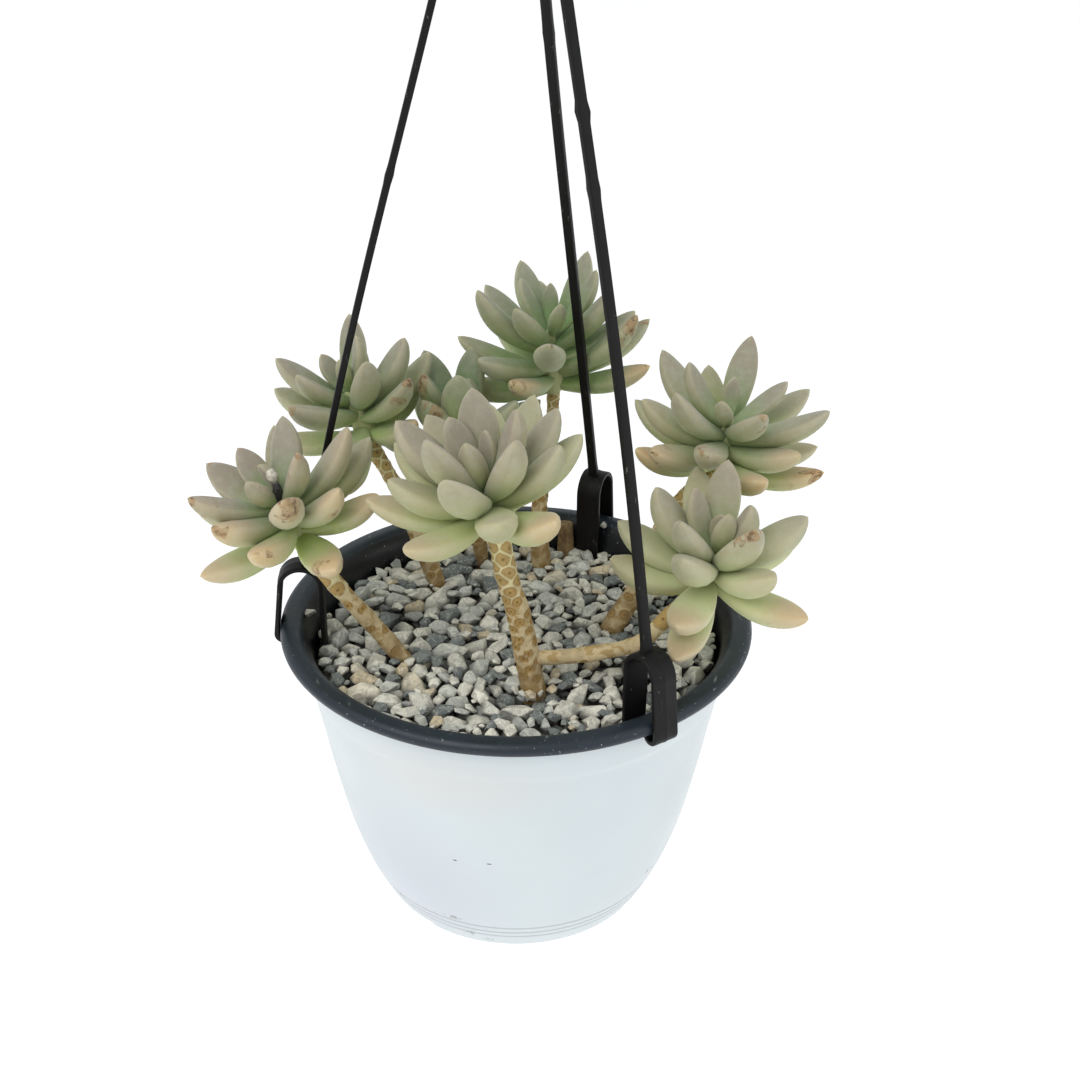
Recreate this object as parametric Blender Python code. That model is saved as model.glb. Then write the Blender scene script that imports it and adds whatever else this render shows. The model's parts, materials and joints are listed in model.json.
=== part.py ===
"""Hanging pot of ghost-plant rosettes.

A round plastic pot with a dark liner hangs by three moulded arms that clip over its rim. Crushed
stone covers the soil, and six old stems rise through it, each with one or two rosettes of fleshy
leaves. The origin is the point under the hook's arch that bears the weight, with +Z up and the
open front of the plant towards -Y. Sizes are in millimetres until a mesh is made.
"""

import math
import random

import bmesh
import bpy
import numpy as np

MM = 0.001
GAP = 0.3

# Heights above the rim's top plane, which lies this far under the hook's bearing point.
HOOK_ABOVE_RIM = 350.0

# Outer pot and liner: radius and height above the rim plane.
RING_SIDES = 40
WALL = 2.2
SHELL_OUTLINE = (
    (84.0, -5.3),
    (82.9, -12.0),
    (80.7, -21.0),
    (79.8, -22.4),
    (76.9, -38.0),
    (74.1, -54.0),
    (71.0, -70.0),
    (67.3, -86.0),
    (61.8, -103.0),
    (56.6, -114.5),
    (53.6, -120.0),
)
INNER_LEVELS = (-12.0, -24.0, -54.0, -86.0, -103.0)
FOOT_INNER_RADIUS = 48.5
FOOT_RECESS = 3.0
FLOOR = 2.5
NOTCH_AZIMUTHS = (-52.0, 68.0, 188.0)
NOTCH_LENGTH = 28.0
NOTCH_DEPTH = 5.0
NOTCH_SPARE = 2.0
SHELL_CREASE = 35.0
RIM_OUTLINE = (
    (82.8, -0.7),
    (84.0, -0.1),
    (85.8, 0.0),
    (88.2, -0.3),
    (89.6, -1.5),
    (90.0, -3.0),
    (89.5, -4.4),
    (88.4, -5.0),
)
RIM_SEAT = -5.0
LIP_BOTTOM = (79.3, -6.5)
PLASTIC_CREASE = 40.0

# Crushed stone, as one relief of jittered six-sided stones on a flat bed.
GRAVEL_TOP = -10.0
GRAVEL_GROOVE = -14.5
GROOVE_RISE = 0.8
GRAVEL_BOTTOM = -24.0
GRAVEL_TRIM_TOP = -6.0
GRAVEL_SPARE = 6.0
STONE_PITCH = 13.0
STONE_JITTER = 0.17
STONE_TOP_SHARE = 0.66
STONE_TILT = 0.16
STONE_RISE = 1.6
GRAVEL_SEED = 11

# Arms: azimuth from -Y towards +X, how far a strap bows outwards and sideways at its middle, and
# its S-shaped sway. Rim clips: the strip's centre line as radius and height.
ARM_AZIMUTHS = {"front": 34.0, "left": -87.0, "back": 156.0}
ARM_BOW = {"front": (3.6, -0.2), "left": (1.6, 5.2), "back": (0.0, 1.5)}
ARM_SWAY = 1.0
CLIP_WIDTH = 10.0
CLIP_THICKNESS = 1.8
INNER_LEG = 73.8
INNER_LEG_FOOT = -18.0
OUTER_LEG_TOP = 89.0
OUTER_LEG_FOOT = 91.4
ARCH_SPRING = 14.5
TOE_RADIUS = 2.9
TOE_HEIGHT = -5.5
ARCH_RINGS = 11
TOE_RINGS = 9
STRAP_RINGS = 7
STRAP_WIDTH = 3.6
STRAP_THICKNESS = 2.5
STRAP_FOOT = (79.5, 21.6)
STRAP_HEAD = (4.2, 309.0)

# Crown and hook.
HUB_SIDES = 20
HUB_OUTLINE = (
    (0.0, 315.0),
    (4.5, 315.0),
    (8.0, 312.0),
    (9.5, 309.0),
    (9.5, 302.5),
    (8.5, 301.0),
    (0.0, 301.0),
)
HOOK_FOOT = 309.0
HOOK_NECK = 318.0
HOOK_RINGS = 15
ROD_SIDES = 8
HOOK_ROD = 2.5
HOOK_INNER_RADIUS = 12.0
HOOK_TIP_ANGLE = 205.0
HOOK_NECK_ANGLE = -58.0

# Leaves: shape shares that hold for every leaf.
LEAF_RINGS = (0.0, 0.42, 0.8)
LEAF_SIDES = 5
LEAF_WIDEST = 0.58
LEAF_THICKNESS_SHARE = 0.66
LEAF_BASE_WIDTH = 0.34
LEAF_BASE_THICKNESS = 0.5
TIP_WIDTH_POWER = 0.65
TIP_THICKNESS_POWER = 0.55
UPPER_SHARE = 0.36
LEAF_BEND = 0.2
LEAF_ROOT = 1.2

# Volume in cubic millimetres below which a skin left by a union is no body of its own.
LEAST_BODY = 100.0

# Growth of a rosette: the youngest leaf's share of a full leaf's length, the age at which a leaf is
# full, how its width follows its length, and how far the seeded draws move a leaf.
YOUNGEST_SHARE = 0.42
GROWN_AGE = 0.35
WIDTH_GROWTH = 0.8
AZIMUTH_DRAW = 12.0
RISE_DRAW = 7.0
LENGTH_DRAW = 0.1

# What the leaves bend round: the room they keep, and the balls that stand for the holder.
CLEARANCE = 1.3
BALL_SPACING = 3.0
LEAF_BALL_SHARES = (0.3, 0.45, 0.6, 0.75, 0.88, 0.98)
STRAP_BALL = 2.4
CLIP_BALL = 1.3
CLIP_BALL_OFFSETS = (-4.0, -1.3, 1.3, 4.0)
RIM_BALL = 3.8
RIM_BALL_PLACE = (86.5, -3.0)
TURNS = (0, 5, -5, 10, -10, 15, -15, 20, -20, 25, -25)
LIFTS = (0, 5, -5, 10, -10, 15, -15, 20, -20)

# Rosettes. base: where the oldest leaves leave the stem; lean: sideways part of the upward axis;
# crown: height over which the leaves are spread; count, hand and start: number of leaves, sense and
# first azimuth of the spiral; step: divergence angle; young, old and settle: rise of the youngest
# and oldest leaves and how fast it falls between them; reach and breadth: length and width of a
# full leaf; seed: of the small draws that move each leaf.
ROSETTES = {
    "centre": dict(
        base=(-8.5, -33.5, 56.5), lean=(-0.2, -0.18), crown=14.0, count=23, hand=-1, start=181.0,
        step=137.2, young=86.0, old=16.0, settle=0.61, reach=42.0, breadth=14.0, seed=2131,
    ),
    "right_front": dict(
        base=(71.0, -20.5, 22.0), lean=(0.03, -0.15), crown=15.5, count=21, hand=-1, start=66.0,
        step=141.9, young=85.0, old=-4.0, settle=0.7, reach=38.0, breadth=14.2, seed=1957,
    ),
    "left_front": dict(
        base=(-78.5, -20.5, 43.5), lean=(-0.37, -0.18), crown=16.5, count=20, hand=-1, start=25.0,
        step=137.1, young=87.0, old=9.0, settle=0.4, reach=38.0, breadth=12.8, seed=857,
    ),
    "right_back": dict(
        base=(77.5, 29.5, 47.0), lean=(0.14, -0.18), crown=20.5, count=21, hand=1, start=102.0,
        step=137.5, young=68.0, old=15.0, settle=0.4, reach=41.0, breadth=12.2, seed=4524,
    ),
    "top_back": dict(
        base=(15.0, 75.5, 60.0), lean=(-0.06, -0.14), crown=26.5, count=22, hand=-1, start=79.0,
        step=138.1, young=68.0, old=12.0, settle=0.73, reach=42.0, breadth=11.8, seed=4048,
    ),
    "left_back": dict(
        base=(-58.5, 46.5, 50.5), lean=(-0.28, -0.14), crown=22.0, count=19, hand=-1, start=290.0,
        step=141.4, young=88.0, old=8.0, settle=0.51, reach=36.5, breadth=12.2, seed=3949,
    ),
    "small_back": dict(
        base=(-22.0, 53.0, 48.0), lean=(-0.11, -0.08), crown=7.0, count=14, hand=-1, start=124.0,
        step=138.3, young=83.0, old=16.0, settle=0.74, reach=36.0, breadth=13.2, seed=5431,
    ),
}

# Stems: points from the root end up, with the radius at each, and the rosette at the end.
STEM_ROOT = -38.0
STEMS = {
    "front": (
        ("centre", (
            (8.6, -36.4, STEM_ROOT, 4.2), (6.0, -36.3, -13.0, 4.7), (1.2, -36.0, 16.8, 4.2),
            (-3.2, -36.0, 34.0, 4.1), (-5.8, -35.5, 47.5, 4.0),
        )),
        ("right_front", (
            (4.9, -36.0, 1.0, 2.6), (15.8, -36.0, 1.2, 2.8), (30.3, -35.0, 2.6, 2.8),
            (45.1, -32.0, 5.0, 2.9), (56.4, -28.0, 14.5, 3.1),
        )),
    ),
    "left": (
        ("left_front", (
            (-26.0, -11.0, STEM_ROOT, 3.3), (-43.5, -13.6, -13.0, 3.3), (-51.3, -15.0, -1.0, 3.3),
            (-67.1, -19.0, 23.3, 3.3), (-73.0, -20.0, 33.0, 3.4),
        )),
    ),
    "back_left": (
        ("left_back", (
            (-31.0, 41.0, STEM_ROOT, 3.5), (-32.7, 41.5, -13.0, 3.5), (-36.0, 42.0, -2.0, 3.4),
            (-45.0, 43.3, 24.0, 3.1), (-51.5, 43.9, 38.0, 3.0),
        )),
    ),
    "middle": (
        ("small_back", (
            (-14.5, 65.0, STEM_ROOT, 3.0), (-15.0, 64.0, -13.0, 3.0), (-16.5, 58.0, 14.0, 2.8),
            (-17.7, 53.0, 36.0, 2.7),
        )),
    ),
    "back": (
        ("top_back", (
            (11.2, 56.5, STEM_ROOT, 4.1), (10.3, 57.5, -13.0, 4.1), (9.3, 60.0, 11.2, 3.2),
            (12.1, 63.5, 28.9, 2.7), (14.0, 67.5, 42.8, 2.6),
        )),
    ),
    "right": (
        ("right_back", (
            (30.0, 6.0, STEM_ROOT, 4.4), (37.9, 8.2, -13.0, 4.5), (45.5, 12.0, -1.0, 4.0),
            (52.8, 17.0, 12.0, 3.4), (57.0, 21.0, 27.0, 3.1), (67.5, 25.5, 38.5, 3.0),
        )),
    ),
}
STEM_SIDES = 8
STEM_KNOB = 0.05
HOLE_TOP = 14.0
PLANT_CREASE = 50.0

# A stem's core inside its rosette: where it begins and swells, measured along the axis from the
# rosette's base, where it ends over the crown, and its radii as shares of the breadth of a leaf.
CORE_START = -2.0
CORE_SWELL = 4.0
CORE_OVER_CROWN = 1.0
CORE_WIDTH_SHARE = 0.36
CORE_TOP_SHARE = 0.16
STUMP = ((19.0, 62.0, -30.0, 3.4), (20.8, 69.0, -12.0, 3.5), (20.6, 69.8, 1.0, 3.0))

COLOURS = {
    "white_plastic": (0.70, 0.76, 0.80, 1.0),
    "dark_plastic": (0.030, 0.048, 0.062, 1.0),
    "black_plastic": (0.012, 0.012, 0.013, 1.0),
    "soil": (0.045, 0.030, 0.020, 1.0),
    "gravel": (0.34, 0.34, 0.31, 1.0),
    "leaf": (0.38, 0.42, 0.28, 1.0),
    "old_wood": (0.12, 0.07, 0.035, 1.0),
}
ROUGHNESS = {"white_plastic": 0.35, "dark_plastic": 0.45, "black_plastic": 0.5, "leaf": 0.6}


def clear_scene():
    for obj in list(bpy.data.objects):
        bpy.data.objects.remove(obj, do_unlink=True)


def material(name):
    made = bpy.data.materials.get(name)
    if made is None:
        made = bpy.data.materials.new(name)
        made.use_nodes = True
        shader = made.node_tree.nodes["Principled BSDF"]
        shader.inputs["Base Color"].default_value = COLOURS[name]
        shader.inputs["Roughness"].default_value = ROUGHNESS.get(name, 0.9)
        shader.inputs["Metallic"].default_value = 0.0
    return made


def placed(points):
    """Points above the rim plane in millimetres, as metres from the hook's bearing point."""
    return (np.asarray(points, float) - (0.0, 0.0, HOOK_ABOVE_RIM)) * MM


def add_object(name, bm, finish):
    bmesh.ops.recalc_face_normals(bm, faces=bm.faces)
    mesh = bpy.data.meshes.new(name)
    bm.to_mesh(mesh)
    bm.free()
    mesh.materials.append(material(finish))
    obj = bpy.data.objects.new(name, mesh)
    bpy.context.scene.collection.objects.link(obj)
    return obj


def loft(bm, rings, tip=None):
    """Skin closed rings of points one after another, capped at both ends or drawn to a tip."""
    made = [[bm.verts.new(point) for point in placed(ring)] for ring in rings]
    sides = len(made[0])
    for lower, upper in zip(made, made[1:]):
        for i in range(sides):
            j = (i + 1) % sides
            bm.faces.new((lower[i], lower[j], upper[j], upper[i]))
    bm.faces.new(made[0][::-1])
    if tip is None:
        bm.faces.new(made[-1])
    else:
        point = bm.verts.new(placed([tip])[0])
        for i in range(sides):
            bm.faces.new((made[-1][i], made[-1][(i + 1) % sides], point))


def revolve(name, profile, finish, sides=RING_SIDES):
    """Turn a closed profile of radius and height; points on the axis close it there."""
    bm = bmesh.new()
    verts = [bm.verts.new(placed([(radius, 0.0, height)])[0]) for radius, height in profile]
    ends = list(zip(verts, verts[1:] + verts[:1]))
    edges = [bm.edges.new(pair) for pair in ends if max(vert.co.x for vert in pair) > 0.0]
    bmesh.ops.spin(
        bm, geom=verts + edges, cent=(0.0, 0.0, 0.0), axis=(0.0, 0.0, 1.0),
        angle=math.tau, steps=sides, use_merge=True, use_duplicate=False,
    )
    bmesh.ops.remove_doubles(bm, verts=bm.verts, dist=0.001 * MM)
    return add_object(name, bm, finish)


def combine(target, others, operation, solver="EXACT"):
    """Apply one Boolean of the target with a collection of other objects, then drop those."""
    group = bpy.data.collections.new("operands")
    bpy.context.scene.collection.children.link(group)
    for other in others:
        bpy.context.scene.collection.objects.unlink(other)
        group.objects.link(other)
    boolean = target.modifiers.new("Boolean", "BOOLEAN")
    boolean.operation = operation
    boolean.solver = solver
    boolean.operand_type = "COLLECTION"
    boolean.collection = group
    graph = bpy.context.evaluated_depsgraph_get()
    old = target.data
    target.data = bpy.data.meshes.new_from_object(target.evaluated_get(graph))
    target.modifiers.clear()
    bpy.data.meshes.remove(old)
    for other in others:
        bpy.data.objects.remove(other, do_unlink=True)
    bpy.data.collections.remove(group)
    return target


def smooth(obj, angle):
    obj.data.shade_smooth()
    obj.data.set_sharp_from_angle(angle=math.radians(angle))


def radius_at(outline, height):
    heights = [z for _, z in outline][::-1]
    radii = [r for r, _ in outline][::-1]
    return float(np.interp(height, heights, radii))


def inset_wall(inset, top, bottom):
    """The outer pot's outline moved inwards, from one height down to another."""
    levels = [top] + [z for z in INNER_LEVELS if bottom < z < top] + [bottom]
    return [(radius_at(SHELL_OUTLINE, z) - inset, z) for z in levels]


FOOT = SHELL_OUTLINE[-1][1]
SHELL_FLOOR = FOOT + FOOT_RECESS + FLOOR
LINER_FLOOR = SHELL_FLOOR + GAP
FILL_BOTTOM = LINER_FLOOR + FLOOR + GAP
LINER_INSET = WALL + GAP
FILL_INSET = LINER_INSET + WALL + GAP


def fill_profile(top, bottom):
    """A solid that fills the liner between two heights, clear of its wall."""
    return [(0.0, top)] + inset_wall(FILL_INSET, top, bottom) + [(0.0, bottom)]


def radial(azimuth):
    turn = math.radians(azimuth)
    return np.array((math.sin(turn), -math.cos(turn), 0.0))


def tangential(azimuth):
    turn = math.radians(azimuth)
    return np.array((math.cos(turn), math.sin(turn), 0.0))


def block(azimuth, radii, heights, width, finish):
    """A box that stands across a radius of the pot, for cutting."""
    bm = bmesh.new()
    out, side = radial(azimuth), tangential(azimuth)
    rings = []
    for height in heights:
        corners = ((radii[0], -1), (radii[1], -1), (radii[1], 1), (radii[0], 1))
        rings.append([out * r + side * s * width / 2 + (0, 0, height) for r, s in corners])
    loft(bm, rings)
    return add_object("block", bm, finish)


def make_shell():
    outside = list(SHELL_OUTLINE) + [
        (FOOT_INNER_RADIUS, FOOT),
        (FOOT_INNER_RADIUS, FOOT + FOOT_RECESS),
        (0.0, FOOT + FOOT_RECESS),
    ]
    inside = inset_wall(WALL, SHELL_OUTLINE[0][1], SHELL_FLOOR)[::-1]
    shell = revolve("pot_shell", outside + [(0.0, SHELL_FLOOR)] + inside, "white_plastic")
    reach = (FOOT_INNER_RADIUS - NOTCH_DEPTH, SHELL_OUTLINE[0][0])
    heights = (FOOT - NOTCH_SPARE, FOOT + FOOT_RECESS)
    notches = [
        block(azimuth, reach, heights, NOTCH_LENGTH, "white_plastic")
        for azimuth in NOTCH_AZIMUTHS
    ]
    combine(shell, notches, "DIFFERENCE")
    smooth(shell, SHELL_CREASE)


def make_liner():
    outside = list(RIM_OUTLINE) + [(SHELL_OUTLINE[0][0] - LINER_INSET, RIM_SEAT)]
    outside += inset_wall(LINER_INSET, -12.0, LINER_FLOOR) + [(0.0, LINER_FLOOR)]
    inside = inset_wall(LINER_INSET + WALL, -12.0, LINER_FLOOR + FLOOR)[::-1]
    profile = outside + [(0.0, LINER_FLOOR + FLOOR)] + inside + [LIP_BOTTOM]
    smooth(revolve("pot_liner", profile, "dark_plastic"), PLASTIC_CREASE)


def stem_rings(points, grow=0.0):
    """Rings of a stem along a smooth curve through its points, with a slightly knobbly outline."""
    points = np.array(points, float)
    spots = np.linspace(0.0, len(points) - 1.0, len(points) * 2 - 1)
    path = np.array([catmull(points, spot) for spot in spots])
    centres, radii = path[:, :3], path[:, 3]
    ahead = np.gradient(centres, axis=0)
    ahead /= np.linalg.norm(ahead, axis=1)[:, None]
    across = np.cross(ahead, (0.0, 1.0, 0.3))
    across /= np.linalg.norm(across, axis=1)[:, None]
    up = np.cross(ahead, across)
    angles = np.arange(STEM_SIDES) * math.tau / STEM_SIDES
    rings = []
    for i, centre in enumerate(centres):
        radius = radii[i] * (1.0 + STEM_KNOB * (-1) ** i) + grow
        rings.append([
            centre + (math.cos(a) * across[i] + math.sin(a) * up[i]) * radius for a in angles
        ])
    return rings


def catmull(points, spot):
    """The smooth curve through the points, at a place counted in points."""
    last = len(points) - 1
    i = min(int(spot), last - 1)
    t = spot - i
    p0, p1, p2, p3 = (points[min(max(k, 0), last)] for k in (i - 1, i, i + 1, i + 2))
    return 0.5 * (
        2 * p1 + (p2 - p0) * t + (2 * p0 - 5 * p1 + 4 * p2 - p3) * t**2
        + (3 * p1 - p0 - 3 * p2 + p3) * t**3
    )


def stem_course(points, rosette):
    """A stem's own points, run on through the middle of its rosette."""
    head = ROSETTES[rosette]
    axis = head_axis(head)
    base = np.array(head["base"])
    low, middle = base + axis * CORE_START, base + axis * CORE_SWELL
    top = base + axis * (head["crown"] + CORE_OVER_CROWN)
    return list(points) + [
        (*low, points[-1][3]), (*middle, head["breadth"] * CORE_WIDTH_SHARE),
        (*top, head["breadth"] * CORE_TOP_SHARE),
    ]


def head_axis(head):
    axis = np.array((*head["lean"], 1.0))
    return axis / np.linalg.norm(axis)


def spiral_leaves(head):
    """Leaves of one rosette, youngest first, along a spiral that seeded draws disturb a little."""
    axis = head_axis(head)
    draw = random.Random(head["seed"])
    leaves = []
    for k in range(head["count"]):
        turn, lift, stretch = (draw.uniform(-1.0, 1.0) for _ in range(3))
        age = k / (head["count"] - 1)
        grown = math.sin(min(age / GROWN_AGE, 1.0) * math.pi / 2)
        share = YOUNGEST_SHARE + (1.0 - YOUNGEST_SHARE) * grown
        rise = head["young"] + (head["old"] - head["young"]) * age ** head["settle"]
        leaves.append(dict(
            root=np.array(head["base"]) + axis * head["crown"] * (1.0 - age),
            axis=axis,
            azimuth=head["start"] + head["hand"] * head["step"] * k + AZIMUTH_DRAW * turn,
            rise=rise + RISE_DRAW * lift,
            length=head["reach"] * share * (1.0 + LENGTH_DRAW * stretch),
            width=head["breadth"] * share**WIDTH_GROWTH,
        ))
    return leaves


def leaf_frame(leaf):
    """Unit vectors along the leaf, across it, and out of its upper face."""
    axis = leaf["axis"]
    first = np.cross((0.0, 1.0, 0.0), axis)
    first /= np.linalg.norm(first)
    second = np.cross(axis, first)
    turn, rise = math.radians(leaf["azimuth"]), math.radians(leaf["rise"])
    out = first * math.cos(turn) + second * math.sin(turn)
    along = out * math.cos(rise) + axis * math.sin(rise)
    upward = axis * math.cos(rise) - out * math.sin(rise)
    return along, np.cross(upward, along), upward


def leaf_sizes(share, leaf):
    """Half width, and thickness above and below the middle, at a share of the leaf's length."""
    half = leaf["width"] / 2
    thickness = leaf["width"] * LEAF_THICKNESS_SHARE
    if share < LEAF_WIDEST:
        swell = math.sin(math.pi / 2 * share / LEAF_WIDEST)
        wide = LEAF_BASE_WIDTH + (1 - LEAF_BASE_WIDTH) * swell
        thick = LEAF_BASE_THICKNESS + (1 - LEAF_BASE_THICKNESS) * swell
    else:
        fall = 1.0 - ((share - LEAF_WIDEST) / (1.0 - LEAF_WIDEST)) ** 2
        wide = fall**TIP_WIDTH_POWER
        thick = fall**TIP_THICKNESS_POWER
    return half * wide, thickness * thick * UPPER_SHARE, thickness * thick * (1 - UPPER_SHARE)


def leaf_middle(leaf, share):
    """The leaf's middle line, which sags between its root and its lifted tip."""
    along, _, upward = leaf_frame(leaf)
    length = leaf["length"]
    reach = LEAF_ROOT + (length - LEAF_ROOT) * share
    return leaf["root"] + along * reach + upward * length * LEAF_BEND * (share**2 - share)


def leaf_rings(leaf):
    _, across, upward = leaf_frame(leaf)
    rings = []
    for share in LEAF_RINGS:
        half, above, below = leaf_sizes(share, leaf)
        ring = []
        for i in range(LEAF_SIDES):
            angle = (i + 0.25 * LEAF_SIDES) * math.tau / LEAF_SIDES
            height = math.sin(angle) * (above if math.sin(angle) > 0 else below)
            ring.append(
                leaf_middle(leaf, share) + across * math.cos(angle) * half + upward * height
            )
        rings.append(ring)
    return rings


def leaf_balls(leaf):
    """Balls that fill the leaf roughly, to keep it clear of what is near."""
    _, across, upward = leaf_frame(leaf)
    balls = []
    for share in LEAF_BALL_SHARES:
        half, above, below = leaf_sizes(share, leaf)
        middle = leaf_middle(leaf, share) + upward * (above - below) / 2
        radius = (above + below) / 2
        for side in (-1, 0, 1):
            spot = middle + across * side * max(half - radius, 0.0)
            balls.append((*spot, radius))
    return np.array(balls)


def room(balls, others):
    """Least distance between two sets of balls."""
    apart = np.linalg.norm(balls[:, None, :3] - others[None, :, :3], axis=2)
    return float((apart - balls[:, None, 3] - others[None, :, 3]).min())


def bent_clear(leaf, obstacles):
    """The leaf, turned or lifted by the least that keeps it clear of its neighbours."""
    best, most = leaf, -1e9
    tries = sorted(
        ((turn, lift) for turn in TURNS for lift in LIFTS), key=lambda t: abs(t[0]) + abs(t[1])
    )
    for turn, lift in tries:
        moved = dict(leaf, azimuth=leaf["azimuth"] + turn, rise=leaf["rise"] + lift)
        free = room(leaf_balls(moved), obstacles)
        if free >= CLEARANCE:
            return moved
        if free > most:
            best, most = moved, free
    return best


def strap_points(name):
    """Middle line of one arm's strap, from its rim clip to the crown."""
    out, side = radial(ARM_AZIMUTHS[name]), tangential(ARM_AZIMUTHS[name])
    (foot_radius, foot), (head_radius, head) = STRAP_FOOT, STRAP_HEAD
    outward, sideways = ARM_BOW[name]
    points = []
    for share in np.linspace(0.0, 1.0, STRAP_RINGS):
        bow = math.sin(math.pi * share)
        radius = foot_radius + (head_radius - foot_radius) * share
        radius += outward * bow + ARM_SWAY * math.sin(math.tau * share)
        height = foot + (head - foot) * share
        points.append(out * radius + side * sideways * bow + (0.0, 0.0, height))
    return np.array(points)


def tube_balls(points, radius, spacing=BALL_SPACING):
    """Balls along a line of points."""
    balls = []
    for start, end in zip(points, points[1:]):
        start, end = np.array(start, float), np.array(end, float)
        steps = max(int(np.linalg.norm(end[:3] - start[:3]) / spacing), 1)
        for k in range(steps + 1):
            balls.append((*(start + (end - start) * k / steps)[:3], radius))
    return balls


def fixed_obstacles():
    """Balls over the straps, the clips and the rim, which every leaf keeps clear of."""
    balls = []
    for name, azimuth in ARM_AZIMUTHS.items():
        balls += tube_balls(strap_points(name), STRAP_BALL)
        out, side = radial(azimuth), tangential(azimuth)
        for offset in CLIP_BALL_OFFSETS:
            line = [out * r + side * offset + (0, 0, z) for r, z in clip_line()]
            balls += tube_balls(line, CLIP_BALL)
    radius, height = RIM_BALL_PLACE
    for azimuth in range(0, 360, 2):
        balls.append((*(radial(azimuth) * radius + (0, 0, height)), RIM_BALL))
    return balls


def stem_balls(stem):
    balls = []
    for rosette, points in STEMS[stem]:
        course = stem_course(points, rosette)
        for start, end in zip(course, course[1:]):
            balls += tube_balls((start, end), max(start[3], end[3]))
    return balls


def placed_leaves():
    """Every rosette's leaves, each bent clear of the holder and of the other stems."""
    stem_of = {rosette: stem for stem, parts in STEMS.items() for rosette, _ in parts}
    settled = {stem: stem_balls(stem) for stem in STEMS}
    holder = fixed_obstacles()
    leaves = {}
    for rosette, head in ROSETTES.items():
        own = stem_of[rosette]
        others = [ball for stem, balls in settled.items() if stem != own for ball in balls]
        obstacles = np.array(holder + others)
        leaves[rosette] = [bent_clear(leaf, obstacles) for leaf in spiral_leaves(head)]
        for leaf in leaves[rosette]:
            settled[own] += [tuple(ball) for ball in leaf_balls(leaf)]
    return leaves


def face_edges(face):
    return [frozenset(pair) for pair in zip(face, face[1:] + face[:1])]


def skins_of(faces):
    """Groups of triangles that hang together across edges with exactly two triangles."""
    beside = {}
    for index, face in enumerate(faces):
        for edge in face_edges(face):
            beside.setdefault(edge, []).append(index)
    left = set(range(len(faces)))
    skins = []
    while left:
        skin, ahead = [], [left.pop()]
        while ahead:
            index = ahead.pop()
            skin.append(index)
            for edge in face_edges(faces[index]):
                near = left.intersection(beside[edge]) if len(beside[edge]) == 2 else set()
                left -= near
                ahead += near
        skins.append(skin)
    return skins


def keep_outer_skin(obj):
    """Rebuild a union without the skins of hollows and creases sealed between its leaves."""
    mesh = obj.data
    mesh.calc_loop_triangles()
    spots = [vert.co.copy() for vert in mesh.vertices]
    faces = [tuple(face.vertices) for face in mesh.loop_triangles]
    kept = []
    for skin in skins_of(faces):
        corners = [[spots[corner] for corner in faces[index]] for index in skin]
        volume = sum(a.dot(b.cross(c)) for a, b, c in corners) / 6
        if volume > LEAST_BODY * MM**3:
            kept += skin
    used = sorted({corner for index in kept for corner in faces[index]})
    place = {corner: k for k, corner in enumerate(used)}
    mesh.clear_geometry()
    mesh.from_pydata(
        [spots[corner] for corner in used], [],
        [[place[corner] for corner in faces[index]] for index in sorted(kept)],
    )


def make_leafy_stem(stem, leaves):
    bodies = []
    for rosette, points in STEMS[stem]:
        bm = bmesh.new()
        loft(bm, stem_rings(stem_course(points, rosette)))
        bodies.append(add_object(f"leafy_stem_{stem}", bm, "leaf"))
        for leaf in leaves[rosette]:
            bm = bmesh.new()
            loft(bm, leaf_rings(leaf), leaf_middle(leaf, 1.0))
            bodies.append(add_object("leaf", bm, "leaf"))
    made = combine(bodies[0], bodies[1:], "UNION", "MANIFOLD")
    keep_outer_skin(made)
    smooth(made, PLANT_CREASE)


def stem_cutters(finish):
    """Stems a little thicker than they are, up to above the gravel, to cut plain holes."""
    cutters = []
    courses = [stem_course(parts[0][1], parts[0][0]) for parts in STEMS.values()]
    for course in courses + [STUMP]:
        bm = bmesh.new()
        rings = [ring for ring in stem_rings(course, GAP) if np.mean(ring, axis=0)[2] < HOLE_TOP]
        low = np.array(rings[0])
        ahead = low.mean(axis=0) - np.array(rings[1]).mean(axis=0)
        rings[0] = list(low + ahead / np.linalg.norm(ahead) * GAP)
        loft(bm, rings)
        cutters.append(add_object("hole", bm, finish))
    return cutters


def make_stump():
    bm = bmesh.new()
    loft(bm, stem_rings(STUMP))
    smooth(add_object("old_stump", bm, "old_wood"), PLANT_CREASE)


def make_soil():
    top = GRAVEL_BOTTOM - GAP
    soil = revolve("potting_soil", fill_profile(top, FILL_BOTTOM), "soil")
    combine(soil, stem_cutters("soil"), "DIFFERENCE")


def stone_corner(column, row, corner):
    """A shared corner of the six-sided cells, moved by a draw that its own place seeds."""
    middle_x, middle_y = stone_centre(column, row)
    angle = math.radians(60 * corner + 30)
    radius = STONE_PITCH / math.sqrt(3)
    x = middle_x + radius * math.cos(angle)
    y = middle_y + radius * math.sin(angle)
    draw = random.Random(f"{GRAVEL_SEED} {round(x, 2) + 0.0} {round(y, 2) + 0.0}")
    shift = STONE_JITTER * STONE_PITCH
    return (
        x + draw.uniform(-shift, shift),
        y + draw.uniform(-shift, shift),
        GRAVEL_GROOVE + draw.uniform(-GROOVE_RISE, GROOVE_RISE),
    )


def stone_centre(column, row):
    return (column + 0.5 * (row % 2)) * STONE_PITCH, row * STONE_PITCH * math.sqrt(3) / 2


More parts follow.
